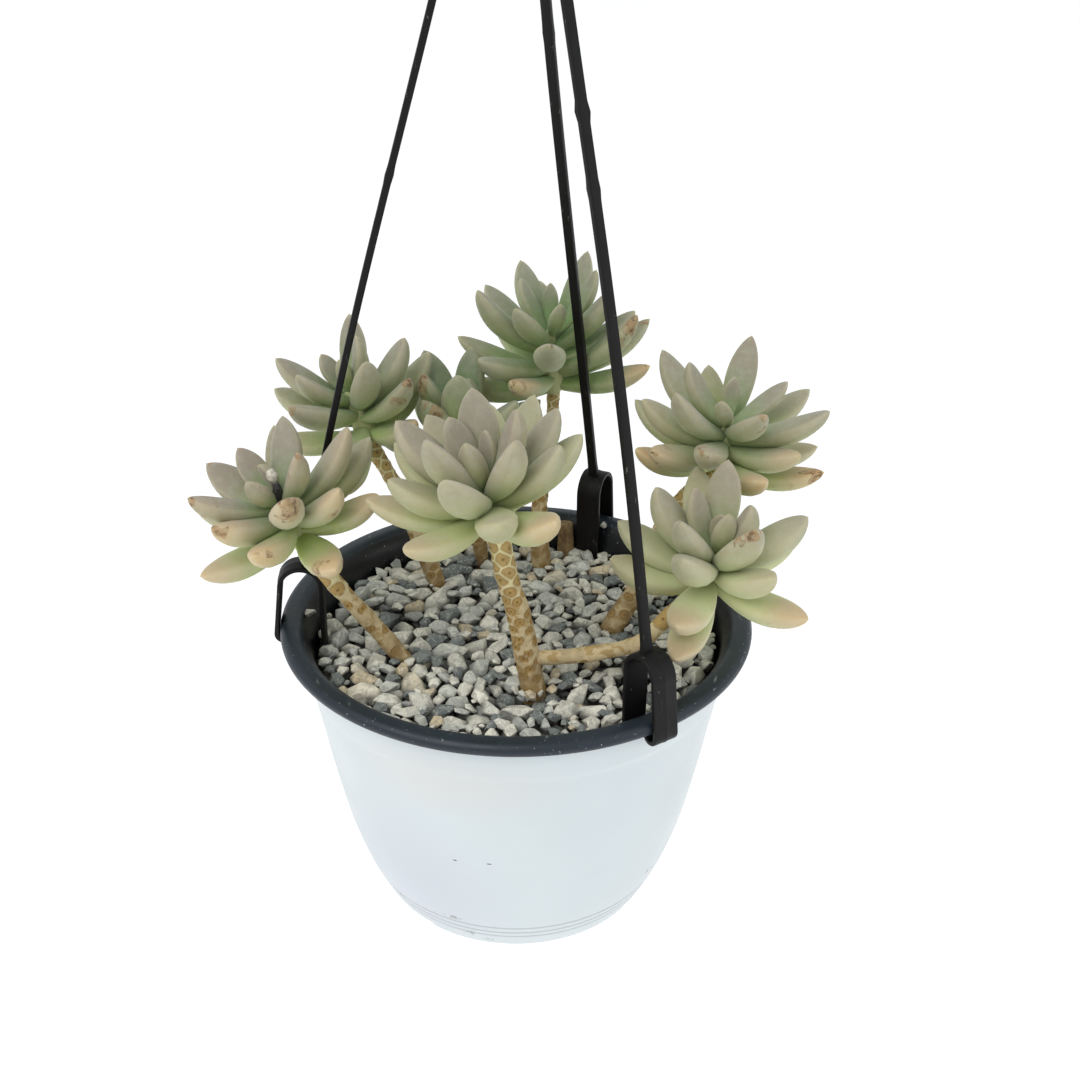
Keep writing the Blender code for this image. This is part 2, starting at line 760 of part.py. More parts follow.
def make_gravel():
    """Stones as raised, tilted plateaus with grooves between them, trimmed to the liner."""
    bm = bmesh.new()
    corners = {}
    reach = radius_at(SHELL_OUTLINE, GRAVEL_TOP) + STONE_PITCH
    cells = int(reach / STONE_PITCH) + 3
    for column in range(-cells, cells + 1):
        for row in range(-cells, cells + 1):
            if math.hypot(*stone_centre(column, row)) > reach:
                continue
            add_stone(bm, corners, column, row)
    bmesh.ops.triangulate(bm, faces=bm.faces)
    rim = [edge for edge in bm.edges if edge.is_boundary]
    skirt = bmesh.ops.extrude_edge_only(bm, edges=rim)["geom"]
    bed = placed([(0.0, 0.0, GRAVEL_BOTTOM - GRAVEL_SPARE)])[0][2]
    lowered = [item for item in skirt if isinstance(item, bmesh.types.BMVert)]
    for vert in lowered:
        vert.co.z = bed
    bmesh.ops.contextual_create(
        bm, geom=[item for item in skirt if isinstance(item, bmesh.types.BMEdge)]
    )
    gravel = add_object("gravel", bm, "gravel")
    trim = revolve("trim", fill_profile(GRAVEL_TRIM_TOP, GRAVEL_BOTTOM), "gravel")
    combine(gravel, [trim], "INTERSECT")
    slots = [
        block(
            azimuth,
            (INNER_LEG - CLIP_THICKNESS / 2 - GAP, INNER_LEG + CLIP_THICKNESS / 2 + GAP),
            (INNER_LEG_FOOT - GAP, 0.0),
            CLIP_WIDTH + 2 * GAP,
            "gravel",
        )
        for azimuth in ARM_AZIMUTHS.values()
    ]
    combine(gravel, slots + stem_cutters("gravel"), "DIFFERENCE")


def add_stone(bm, corners, column, row):
    draw = random.Random(f"{GRAVEL_SEED} stone {column} {row}")
    tilt_x, tilt_y = (draw.uniform(-STONE_TILT, STONE_TILT) for _ in range(2))
    top = GRAVEL_TOP + draw.uniform(-STONE_RISE, 0.0)
    low = [stone_corner(column, row, corner) for corner in range(6)]
    middle = np.mean(low, axis=0)
    outer, inner = [], []
    for x, y, z in low:
        key = (round(x, 3), round(y, 3))
        if key not in corners:
            corners[key] = bm.verts.new(placed([(x, y, z)])[0])
        outer.append(corners[key])
        dx, dy = (x - middle[0]) * STONE_TOP_SHARE, (y - middle[1]) * STONE_TOP_SHARE
        height = top + dx * tilt_x + dy * tilt_y
        inner.append(placed([(middle[0] + dx, middle[1] + dy, height)])[0])
    first = draw.randrange(2)
    top_verts = {i: bm.verts.new(inner[i]) for i in range(first, 6, 2)}
    bm.faces.new(top_verts.values())
    for i, vert in top_verts.items():
        before, after, later = outer[i - 1], outer[(i + 1) % 6], top_verts[(i + 2) % 6]
        bm.faces.new((before, outer[i], vert))
        bm.faces.new((outer[i], after, vert))
        bm.faces.new((vert, after, later))


def clip_line():
    """Centre line of a rim clip in radius and height: inner leg, arch, outer leg and toe."""
    arch_radius = (OUTER_LEG_TOP - INNER_LEG) / 2
    arch_middle = (OUTER_LEG_TOP + INNER_LEG) / 2
    line = [(INNER_LEG, INNER_LEG_FOOT)]
    for angle in np.linspace(180.0, 0.0, ARCH_RINGS):
        turn = math.radians(angle)
        line.append((
            arch_middle + arch_radius * math.cos(turn), ARCH_SPRING + arch_radius * math.sin(turn)
        ))
    for angle in np.linspace(0.0, -180.0, TOE_RINGS):
        turn = math.radians(angle)
        line.append((
            OUTER_LEG_FOOT - TOE_RADIUS + TOE_RADIUS * math.cos(turn),
            TOE_HEIGHT + TOE_RADIUS * math.sin(turn),
        ))
    return line


def make_arm(name):
    azimuth = ARM_AZIMUTHS[name]
    out, side = radial(azimuth), tangential(azimuth)
    line = np.array(clip_line())
    ahead = np.gradient(line, axis=0)
    ahead /= np.linalg.norm(ahead, axis=1)[:, None]
    corners = ((-1, -1), (1, -1), (1, 1), (-1, 1))
    rings = []
    for (radius, height), (run, climb) in zip(line, ahead):
        normal = out * -climb + np.array((0, 0, run))
        middle = out * radius + (0, 0, height)
        rings.append([
            middle + side * s * CLIP_WIDTH / 2 + normal * n * CLIP_THICKNESS / 2
            for s, n in corners
        ])
    bm = bmesh.new()
    loft(bm, rings)
    clip = add_object(f"hanger_arm_{name}", bm, "black_plastic")
    strap = make_strap(name, 0.0, STRAP_HEAD[1])
    combine(clip, [strap], "UNION")
    smooth(clip, PLASTIC_CREASE)


def make_strap(name, grow, top):
    """One arm's strap, or a slightly larger copy that cuts its pocket in the crown."""
    out, side = radial(ARM_AZIMUTHS[name]), tangential(ARM_AZIMUTHS[name])
    half_width = STRAP_WIDTH / 2 + grow
    half_thickness = STRAP_THICKNESS / 2 + grow
    corners = ((-1, -1), (1, -1), (1, 1), (-1, 1))
    points = strap_points(name)
    slope = (points[-1] - points[-2]) / (points[-1] - points[-2])[2]
    points[-1] = points[-1] + slope * (top - points[-1][2])
    rings = [
        [p + side * s * half_width + out * n * half_thickness for s, n in corners]
        for p in points
    ]
    bm = bmesh.new()
    loft(bm, rings)
    return add_object("strap", bm, "black_plastic")


def hook_rings():
    """Rings of the hook's round rod: neck from the hub, then an open arch over the origin."""
    middle = np.array((0.0, 0.0, HOOK_ABOVE_RIM - HOOK_INNER_RADIUS))
    radius = HOOK_INNER_RADIUS + HOOK_ROD
    path = [np.array((0.0, 0.0, HOOK_FOOT)), np.array((0.0, 0.0, HOOK_NECK))]
    for angle in np.linspace(HOOK_NECK_ANGLE, HOOK_TIP_ANGLE, HOOK_RINGS):
        turn = math.radians(angle)
        path.append(middle + (radius * math.cos(turn), 0.0, radius * math.sin(turn)))
    path = np.array(path)
    ahead = np.gradient(path, axis=0)
    ahead /= np.linalg.norm(ahead, axis=1)[:, None]
    across = np.array((0.0, 1.0, 0.0))
    rings = []
    for centre, direction in zip(path, ahead):
        up = np.cross(direction, across)
        rings.append([
            centre + (across * math.cos(a) + up * math.sin(a)) * HOOK_ROD
            for a in np.arange(ROD_SIDES) * math.tau / ROD_SIDES
        ])
    return rings


def make_crown():
    crown = revolve("hanger_crown", HUB_OUTLINE, "black_plastic", HUB_SIDES)
    bm = bmesh.new()
    loft(bm, hook_rings())
    combine(crown, [add_object("hook", bm, "black_plastic")], "UNION")
    pockets = [make_strap(name, GAP, STRAP_HEAD[1] + GAP) for name in ARM_AZIMUTHS]
    combine(crown, pockets, "DIFFERENCE", "MANIFOLD")
    smooth(crown, PLASTIC_CREASE)


def main():
    clear_scene()
    make_shell()
    make_liner()
    make_soil()
    make_gravel()
    leaves = placed_leaves()
    for stem in STEMS:
        make_leafy_stem(stem, leaves)
    make_stump()
    for name in ARM_AZIMUTHS:
        make_arm(name)
    make_crown()


main()
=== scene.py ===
"""Looks of a hanging pot of ghost-plant rosettes.

Every finished piece stands where its plain solid stands: the same rules place the leaves, the stems
and the arms. Sizes are in millimetres above the rim's top plane until a mesh is made.
"""

import json
import math
import random

import bmesh
import bpy
import numpy as np
from bpy.props import FloatProperty, FloatVectorProperty, IntProperty, PointerProperty
from mathutils import Matrix

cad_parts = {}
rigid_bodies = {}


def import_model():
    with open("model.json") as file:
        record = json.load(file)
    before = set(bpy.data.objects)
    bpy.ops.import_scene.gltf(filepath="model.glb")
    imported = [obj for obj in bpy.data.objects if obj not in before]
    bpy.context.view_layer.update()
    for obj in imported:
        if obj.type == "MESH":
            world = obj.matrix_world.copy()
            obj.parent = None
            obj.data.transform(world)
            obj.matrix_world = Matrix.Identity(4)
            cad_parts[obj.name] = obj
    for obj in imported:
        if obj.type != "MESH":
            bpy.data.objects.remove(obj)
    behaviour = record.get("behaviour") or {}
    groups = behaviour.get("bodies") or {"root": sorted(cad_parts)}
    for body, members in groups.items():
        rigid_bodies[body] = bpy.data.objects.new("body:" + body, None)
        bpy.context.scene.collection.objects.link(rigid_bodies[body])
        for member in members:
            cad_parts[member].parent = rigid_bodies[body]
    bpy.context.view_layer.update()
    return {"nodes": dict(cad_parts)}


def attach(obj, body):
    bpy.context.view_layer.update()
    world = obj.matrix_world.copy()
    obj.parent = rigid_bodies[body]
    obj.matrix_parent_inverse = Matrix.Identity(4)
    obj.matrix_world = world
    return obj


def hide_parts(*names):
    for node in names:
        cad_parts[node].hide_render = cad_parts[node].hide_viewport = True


bl_info = {
    "name": "Hanging pot of ghost plants",
    "version": (1, 0, 0),
    "blender": (4, 5, 0),
    "location": "3D View > Sidebar > Hanging pot",
    "description": "Builds the finished surfaces of a potted succulent in a hanging pot",
    "category": "Object",
}

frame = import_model()

MM = 0.001
GAP = 0.3
HOOK_ABOVE_RIM = 350.0
GOLDEN = math.radians(137.5)

# Outer pot and liner: radius and height above the rim plane, as in the solids. The step's corner
# shapes the walls inside, while the finished outside runs past it in a soft step of its own.
WALL = 2.2
STEP_CORNER = (79.8, -22.4)
SHELL_OUTLINE = (
    (84.0, -5.3),
    (82.9, -12.0),
    (80.7, -21.0),
    STEP_CORNER,
    (76.9, -38.0),
    (74.1, -54.0),
    (71.0, -70.0),
    (67.3, -86.0),
    (61.8, -103.0),
    (56.6, -114.5),
    (53.6, -120.0),
)
SHELL_STEP = (-20.2, -22.6)
STEP_DEPTH = 0.55
STEP_FADE = 14.0
TOP_EDGE = 0.5
FOOT_EDGE = 0.6
SHELL_GROOVES = (-105.8, -109.2, -112.4)
GROOVE_DEPTH = 0.35
GROOVE_HALF_WIDTH = 0.45

# The foot ring and the blocks that cut its notches.
FOOT_INNER_RADIUS = 48.5
FOOT_RECESS = 3.0
FLOOR = 2.5
NOTCH_AZIMUTHS = (-52.0, 68.0, 188.0)
NOTCH_LENGTH = 28.0
NOTCH_RADII = (43.5, 84.0)
NOTCH_BELOW = 2.0

# The liner's rolled rim, its lip inside, and where its walls start under them. What lies nearer to the
# axis than the rim's inner radius gets a darker copy of the liner's plastic, which is painted shade.
RIM_OUTLINE = (
    (82.8, -0.7),
    (84.0, -0.1),
    (85.8, 0.0),
    (88.2, -0.3),
    (89.6, -1.5),
    (90.0, -3.0),
    (89.5, -4.4),
    (88.4, -5.0),
)
RIM_SEAT = -5.0
LIP_OUTLINE = ((79.3, -6.5), (80.3, -4.2), (81.6, -2.0), (82.3, -1.2))
RIM_INNER_RADIUS = 81.2
LINER_OUTSIDE_TOP = -9.0
LINER_INSIDE_TOP = -9.5

TOP = SHELL_OUTLINE[0][1]
FOOT = SHELL_OUTLINE[-1][1]
SHELL_FLOOR = FOOT + FOOT_RECESS + FLOOR
LINER_FLOOR = SHELL_FLOOR + GAP
LINER_INSET = WALL + GAP
FILL_INSET = LINER_INSET + WALL + GAP

# Rows of points up the finished pot's and liner's walls.
SHELL_ROWS = 260
INSIDE_ROWS = 24
LINER_ROWS = 22

# Heights of the gravel's top and of the grit under it, and the grit's disc.
GRAVEL_TOP = -10.0
GRAVEL_BED = -17.0
GRIT_DEPTH = 4.0
GRIT_TAPER = 1.0
GRIT_SIDES = 48

# A crushed stone: the ranges of its three sizes, how its corners stray, the angle under which its
# faces become one, and how wide its worn edges are, each for a stone of radius 1.
STONE_CORNERS = 13
STONE_SIZES = ((1.0, 1.5), (0.72, 1.0), (0.48, 0.8))
CORNER_TURN = 0.6
CORNER_REACH = (0.76, 1.2)
FLAT_ANGLE = math.radians(13)
WORN_EDGE = 0.055
STONE_SHAPES = 20
BEVELLED_SHAPES = 14

# Layers of stones: level, coverage, size, rounds of settling, and the range of shapes.
STONE_LAYERS = (
    (0.0, 1.0, 1.0, 60, (0, BEVELLED_SHAPES)),
    (-3.2, 0.9, 1.0, 40, (0, BEVELLED_SHAPES)),
    (-1.4, 0.2, 0.5, 1, (BEVELLED_SHAPES, STONE_SHAPES)),
    (-5.8, 0.8, 1.0, 10, (BEVELLED_SHAPES, STONE_SHAPES)),
)

# How the stones lie: the spread of their sizes, how far each is sunk and moved up or down, how
# deep a layer meets the wall and the room there, how hard they push each other, a length that
# keeps a stone from pushing itself, how far they tuck under a stem, how they are turned and
# stretched, and the heights between which they fall into the shade.
SIZE_SPREAD = 0.4
SUNK_SHARE = 0.62
LEVEL_DRAW = (-0.9, 0.5)
MIDDLE_DEPTH = 3.0
WALL_ROOM = 0.2
PUSH = 0.25
FAR_APART = 1e3
TUCKED_SHARE = 0.8
STONE_TILT = 0.45
STONE_STRETCH = (0.88, 1.16)
DEEP_STONES = (GRAVEL_TOP - 0.9, GRAVEL_TOP - 4.4)

# Loose stones, by place and radius, on the liner's ledge and in the back clip.
LOOSE_STONES = (((-79.4, 1.2, -1.9), 2.7), ((37.0, 72.6, -1.4), 1.9))
LOOSE_TONE = 0.8

# Arms: azimuth from -Y towards +X, bow outwards and sideways, and the clip's centre line.
ARM_AZIMUTHS = {"front": 34.0, "left": -87.0, "back": 156.0}
ARM_BOW = {"front": (3.6, -0.2), "left": (1.6, 5.2), "back": (0.0, 1.5)}
ARM_SWAY = 1.0
CLIP_WIDTH = 10.0
CLIP_THICKNESS = 1.8
INNER_LEG = 73.8
INNER_LEG_FOOT = -18.0
OUTER_LEG_TOP = 89.0
OUTER_LEG_FOOT = 91.4
ARCH_SPRING = 14.5
TOE_RADIUS = 2.9
TOE_HEIGHT = -5.5
STRAP_WIDTH = 3.6
STRAP_THICKNESS = 2.5
STRAP_FOOT = (79.5, 21.6)
STRAP_HEAD = (4.2, 309.0)

# The finished strips: the spots across a strip where its middle ridge is drawn, the ridge's half
# width, and its height on a strap and on a clip.
RIDGE_SPOTS = (1.1, 0.55, 0.0, -0.55, -1.1)
RIDGE_HALF = 0.9
STRAP_RIDGE = 0.12
CLIP_RIDGE = 0.18

# A finished strap's rings, how it widens at its foot, and its moulded nubs: their places as shares
# of its length, how far they stand out sideways, and how much of that towards the faces.
STRAP_STEPS = 90
FOOT_OVERLAP = 0.1
FOOT_FLARE = 0.45
FLARE_SHARE = 0.02
NUBS = {"front": (0.53, 0.61), "left": (0.52,), "back": (0.66,)}
NUB_RISE = 0.5
NUB_SHARE = 0.004
NUB_FACE_SHARE = 0.6

# A finished clip's steps round its arch and toe and down its legs, and how it narrows at both ends.
ARCH_STEPS = 25
TOE_STEPS = 13
INNER_LEG_STEPS = 9
OUTER_LEG_STEPS = 7
CLIP_NARROWING = 0.12
NARROW_SHARE = 0.05
TOE_NARROWING = 0.06
TOE_START = 0.9

# Crown and hook.
HUB_RADIUS = 9.5
HUB_BOTTOM = 301.0
HUB_TOP = 315.0
HOOK_ROD = 2.5
HOOK_INNER_RADIUS = 12.0
HOOK_TIP_ANGLE = 205.0
HOOK_NECK_ANGLE = -58.0
HOOK_STEPS = 60
HOOK_SIDES = 20
NECK_STEPS = 6
NECK_HEIGHTS = (HUB_TOP - 6.0, HUB_TOP + 1.5, HUB_TOP + 5.0)
TIP_ANGLES = (25, 50, 72)
TIP_SHARE = 0.6

# The crown's outline in radius and height: its flat top, rounded shoulder, side and foot.
HUB_SIDES = 64
SHOULDER_STEPS = 6
HUB_TOP_RADIUS = 3.4
HUB_SHOULDER = (
    (4.5, HUB_TOP),
    (HUB_RADIUS - 1.5, HUB_TOP - 2.6),
    (HUB_RADIUS, HUB_TOP - 6.0),
    (HUB_RADIUS, HUB_BOTTOM + 1.5),
    (HUB_RADIUS - 1.0, HUB_BOTTOM),
)

# Leaves: shape shares that hold for every leaf.
LEAF_WIDEST = 0.58
LEAF_THICKNESS_SHARE = 0.66
LEAF_BASE_WIDTH = 0.34
LEAF_BASE_THICKNESS = 0.5
TIP_WIDTH_POWER = 0.65
TIP_THICKNESS_POWER = 0.55
UPPER_SHARE = 0.36
LEAF_BEND = 0.2
LEAF_ROOT = 1.2

# The finished leaf: how flat its upper face is, how sharp its keel, how full its margins, how its
# point narrows, how its rings crowd towards the tip, and where the tip's own point lies.
UPPER_FLATNESS = 0.82
KEEL = 1.05
MARGIN_FULLNESS = 0.93
FACE_SHARE = 0.32
POINT_WIDTH_POWER = 0.72
POINT_THICKNESS_POWER = 0.58
RING_POWER = 1.1
LEAF_POINT = (1.008, 0.0, 0.02)

# Draws for the finished leaves' width, thickness and curl, the ages over which a leaf turns peach,
# and how far it has to face the viewer's side for that.
WIDTH_DRAW = (0.98, 1.1)
THICKNESS_DRAW = (0.96, 1.1)
CURL_DRAW = (-0.06, 0.08)
RIPENING = 0.35
LIT_SIDE = (-0.2, 0.35)
LEAF_MARKS = ("age", "ripe", "tone", "marked", "green", "light")

# Growth of a rosette, as in the solids: the youngest leaf's share of a full leaf's length, the age
# at which a leaf is full, how its width follows its length, and how far the draws move a leaf.
YOUNGEST_SHARE = 0.42
GROWN_AGE = 0.35
WIDTH_GROWTH = 0.8
AZIMUTH_DRAW = 12.0
RISE_DRAW = 7.0
LENGTH_DRAW = 0.1

# What the leaves bend round: the room they keep, and the balls that stand for the holder.
CLEARANCE = 1.3
BALL_SPACING = 3.0
LEAF_BALL_SHARES = (0.3, 0.45, 0.6, 0.75, 0.88, 0.98)
STRAP_BALL = 2.4
CLIP_BALL = 1.3
CLIP_BALL_OFFSETS = (-4.0, -1.3, 1.3, 4.0)
RIM_BALL = 3.8
RIM_BALL_PLACE = (86.5, -3.0)
TURNS = (0, 5, -5, 10, -10, 15, -15, 20, -20, 25, -25)
LIFTS = (0, 5, -5, 10, -10, 15, -15, 20, -20)
BENDS = sorted(
    ((turn, lift) for turn in TURNS for lift in LIFTS), key=lambda bend: abs(bend[0]) + abs(bend[1])
)

# Rosettes, by the same rule and values as the solids. green: how far a rosette's leaves have kept
# their green; light: how sunlit it is, or below zero how shaded; ripe: the age at which its leaves
# start to turn peach at their tips; marked: its leaves with dried brown marks, counted from the
# youngest; scars: the skin of its stem for each leaf scar, in square millimetres.
ROSETTES = {
    "centre": dict(
        base=(-8.5, -33.5, 56.5), lean=(-0.2, -0.18), crown=14.0, count=23, hand=-1, start=181.0,
        step=137.2, young=86.0, old=16.0, settle=0.61, reach=42.0, breadth=14.0, seed=2131,
        green=0, light=0.4, ripe=0.62, marked=(), scars=26.0,
    ),
    "right_front": dict(
        base=(71.0, -20.5, 22.0), lean=(0.03, -0.15), crown=15.5, count=21, hand=-1, start=66.0,
        step=141.9, young=85.0, old=-4.0, settle=0.7, reach=38.0, breadth=14.2, seed=1957,
        green=0.1, light=0.9, ripe=0.45, marked=(6,), scars=320.0,
    ),
    "left_front": dict(
        base=(-78.5, -20.5, 43.5), lean=(-0.37, -0.18), crown=16.5, count=20, hand=-1, start=25.0,
        step=137.1, young=87.0, old=9.0, settle=0.4, reach=38.0, breadth=12.8, seed=857,
        green=0.1, light=0.05, ripe=0.1, marked=(3, 4, 6, 7, 9, 11, 14, 19), scars=55.0,
    ),
    "right_back": dict(
        base=(77.5, 29.5, 47.0), lean=(0.14, -0.18), crown=20.5, count=21, hand=1, start=102.0,
        step=137.5, young=68.0, old=15.0, settle=0.4, reach=41.0, breadth=12.2, seed=4524,
        green=0.3, light=0.25, ripe=0.35, marked=(4, 9, 14, 20), scars=30.0,
    ),
    "top_back": dict(
        base=(15.0, 75.5, 60.0), lean=(-0.06, -0.14), crown=26.5, count=22, hand=-1, start=79.0,
        step=138.1, young=68.0, old=12.0, settle=0.73, reach=42.0, breadth=11.8, seed=4048,
        green=0.75, light=0.0, ripe=0.55, marked=(9, 14, 16, 17, 19), scars=18.0,
    ),
    "left_back": dict(
        base=(-58.5, 46.5, 50.5), lean=(-0.28, -0.14), crown=22.0, count=19, hand=-1, start=290.0,
        step=141.4, young=88.0, old=8.0, settle=0.51, reach=36.5, breadth=12.2, seed=3949,
        green=0.4, light=0.0, ripe=0.6, marked=(8, 10, 15, 16), scars=22.0,
    ),
    "small_back": dict(
        base=(-22.0, 53.0, 48.0), lean=(-0.11, -0.08), crown=7.0, count=14, hand=-1, start=124.0,
        step=138.3, young=83.0, old=16.0, settle=0.74, reach=36.0, breadth=13.2, seed=5431,
        green=0.95, light=-0.4, ripe=0.9, marked=(2, 7, 10), scars=22.0,
    ),
}

# Stems: points from the root end up, with the radius at each, and the rosette at the end.
STEM_ROOT = -38.0
STEMS = {
    "front": (
        ("centre", (
            (8.6, -36.4, STEM_ROOT, 4.2), (6.0, -36.3, -13.0, 4.7), (1.2, -36.0, 16.8, 4.2),
            (-3.2, -36.0, 34.0, 4.1), (-5.8, -35.5, 47.5, 4.0),
        )),
        ("right_front", (
            (4.9, -36.0, 1.0, 2.6), (15.8, -36.0, 1.2, 2.8), (30.3, -35.0, 2.6, 2.8),
            (45.1, -32.0, 5.0, 2.9), (56.4, -28.0, 14.5, 3.1),
        )),
    ),
    "left": (
        ("left_front", (
            (-26.0, -11.0, STEM_ROOT, 3.3), (-43.5, -13.6, -13.0, 3.3), (-51.3, -15.0, -1.0, 3.3),
            (-67.1, -19.0, 23.3, 3.3), (-73.0, -20.0, 33.0, 3.4),
        )),
    ),
    "back_left": (
        ("left_back", (
            (-31.0, 41.0, STEM_ROOT, 3.5), (-32.7, 41.5, -13.0, 3.5), (-36.0, 42.0, -2.0, 3.4),
            (-45.0, 43.3, 24.0, 3.1), (-51.5, 43.9, 38.0, 3.0),
        )),
    ),
    "middle": (
        ("small_back", (
            (-14.5, 65.0, STEM_ROOT, 3.0), (-15.0, 64.0, -13.0, 3.0), (-16.5, 58.0, 14.0, 2.8),
            (-17.7, 53.0, 36.0, 2.7),
        )),
    ),
    "back": (
        ("top_back", (
            (11.2, 56.5, STEM_ROOT, 4.1), (10.3, 57.5, -13.0, 4.1), (9.3, 60.0, 11.2, 3.2),
            (12.1, 63.5, 28.9, 2.7), (14.0, 67.5, 42.8, 2.6),
        )),
    ),
    "right": (
        ("right_back", (
            (30.0, 6.0, STEM_ROOT, 4.4), (37.9, 8.2, -13.0, 4.5), (45.5, 12.0, -1.0, 4.0),
            (52.8, 17.0, 12.0, 3.4), (57.0, 21.0, 27.0, 3.1), (67.5, 25.5, 38.5, 3.0),
        )),
    ),
}

# Where a stem meets the gravel, counted in its points, and how far the stones crowd up to it.
STEM_SPOTS_IN_GRAVEL = (0.85, 1.0, 1.15)
STEM_PRESS = 0.9

# A stem's core in its rosette: how far below and above the rosette's foot it starts and swells,
# how far it reaches past the crown, and its radii as shares of a leaf's breadth.
CORE_FOOT = 2.0
CORE_SHOULDER = 4.0
CORE_PAST_CROWN = 1.0
CORE_WIDTH_SHARE = 0.36
CORE_TOP_SHARE = 0.16

# The surface of a stem: its facets and rings, and the side that its rings are turned by.
STEM_SIDES = 52
RING_SPACING = 0.45
STEM_SIDE = (0.0, 1.0, 0.3)

# Leaf scars: how far each strays round and along the stem, its stretch along and round it, how many
# scars on either side are looked at, the spacing's square as a share of a scar's area, a scar's size
# as a share of the spacing, more where scars crowd below a rosette, and the ridges between them.
# Then, by the distance inside a scar's edge, where it fades in and where its outline and lip lie,
# and how much each is raised or sunk; the leaf trace in its middle; how near the stem's end it
# turns green and smooth; and between which heights it turns to old bark.
SCAR_SHIFT = 0.3
SCAR_SLIDE = 0.9
SCAR_STRETCH = (1.14, 0.9)
SCAR_NEIGHBOURS = 8
HEXAGON_SHARE = 1.1547
SCAR_SHARE = 0.32
CROWDED_SHARE = 0.3
CROWDED_BELOW = (34.0, 12.0)
LARGEST_SCAR = 1.9
RIDGE_HALF_WIDTH = 0.36
SCAR_EDGE = (-0.15, 0.25)
OUTLINE_BAND = (0.12, 0.3)
LIP_BAND = (-0.3, 0.4)
LIP_RISE = 0.22
OUTLINE_DENT = 0.2
SCAR_DENT = 0.08
TRACE_RADII = (0.75, 0.3)
GREEN_NECK = (2.15, 1.7)
BARK_HEIGHTS = (6.0, -9.0)

# How a stem swells along it and flattens round it: radians of the wave in a millimetre, and height.
WAVE_ALONG = (0.35, 0.12)
WAVE_ROUND = (0.15, 0.1)

# The dry stump: its finished surface, and its points and radii.
STUMP_RINGS = 44
STUMP_SIDES = 30
STUMP_SCARS = 20.0
STUMP_SEED = 5
STUMP_ROUGHNESS = 0.18
STUMP = ((19.0, 62.0, -30.0, 3.4), (20.8, 69.0, -12.0, 3.5), (20.6, 69.8, 1.0, 3.0))

# The withered flower bud between the left rosette's leaves: places along its stalk and its radius
# at each. The last ones are the bud itself.
BUD_COURSE = (
    (-83.6, -25.5, 56.0, 1.0), (-83.9, -27.0, 59.5, 1.5), (-83.0, -29.0, 63.0, 1.8),
    (-82.7, -31.0, 66.5, 1.7), (-82.8, -31.8, 68.6, 1.4), (-83.5, -32.0, 70.2, 1.1),
    (-84.0, -32.0, 71.2, 1.7), (-84.1, -32.0, 72.6, 2.0), (-84.1, -32.0, 73.8, 1.7),
    (-84.1, -32.0, 74.7, 0.8),
)
BUD_RINGS = 25
BUD_SIDES = 12
BUD_SEED = 7
BUD_WRINKLES = (0.84, 1.12)
BALL_START = (69.6, 71.2)

# The camera's place above the rim plane and its axes, its focal length for a 36 mm sensor, and how
# near and far it sees, in metres.
CAMERA_PLACE = (0.0, -516.1, 306.0)
CAMERA_AHEAD = (0.01498, 0.88186, -0.47128)
CAMERA_RIGHT = (0.99989, -0.01321, 0.00706)
CAMERA_LENS = 52.017
SENSOR_WIDTH = 36.0
VIEW_START = 0.01
VIEW_END = 200.0

# Lamps, in metres from the hook's bearing point: the setting that holds the power, and the width,
# place and tint of each, and the spot that both look at. Tints are linear colours.
LAMPS = (
    ("key", 1.6, (-1.1, -1.3, 1.5), (1.0, 0.985, 0.96)),
    ("fill", 1.8, (1.7, -0.9, 0.5), (0.97, 0.985, 1.0)),
)
LAMP_AIM = (0.0, 0.0, -0.30)
SKY_TINT = (0.96, 0.98, 1.0, 1.0)

# Parts of the outer pot tinted with painted light, a cool painted shade low on the left and a warm
# painted light under the rim: middle and half sizes of each.
PAINTED_COOL_SHADE_PART = ((-46.0, -62.0, -92.0), (52.0, 60.0, 58.0))
PAINTED_WARM_LIGHT_PART = ((-22.0, -78.0, -26.0), (48.0, 60.0, 20.0))

# Rubbed marks on the outer pot: middle and half sizes of each.
SCUFFS = (
    ((-24.0, -54.0, -103.0), (6.0, 8.0, 2.0)),
    ((-11.0, -60.0, -105.0), (4.0, 8.0, 1.6)),
    ((-16.0, -56.0, -113.0), (5.0, 8.0, 2.6)),
    ((-10.0, -55.0, -116.0), (4.0, 8.0, 2.0)),
    ((-46.0, -38.0, -108.0), (7.0, 9.0, 2.4)),
    ((52.0, -36.0, -95.0), (6.0, 9.0, 3.0)),
)

# Two short dark nicks on the outer pot's front, given in the same way.
NICKS = (
    ((-22.5, -68.1, -66.0), (1.3, 2.0, 0.5)),
    ((-10.0, -71.2, -65.3), (1.7, 2.0, 0.45)),
)


def linear(red, green, blue):
    """A colour given as 0 to 255 on screen, as linear light."""
    channels = []
    for value in (red, green, blue):
        share = value / 255.0
        low = share / 12.92
        high = ((share + 0.055) / 1.055) ** 2.4
        channels.append(low if share <= 0.04045 else high)
    return tuple(channels)


def placed(points):
    """Points above the rim plane in millimetres, as metres from the hook's bearing point."""
    return (np.asarray(points, float) - (0.0, 0.0, HOOK_ABOVE_RIM)) * MM


def colour_property(name, description, *screen):
    """A colour given as 0 to 255 on screen."""
    return FloatVectorProperty(
        name=name, description=description, subtype="COLOR", size=3, min=0.0, max=1.0,
        default=linear(*screen),
    )


def length_property(name, description, value):
    """A length shown in the scene's units, given here in millimetres."""
    return FloatProperty(
        name=name, description=description, default=value * MM, min=0.0, subtype="DISTANCE",
        unit="LENGTH", precision=5,
    )


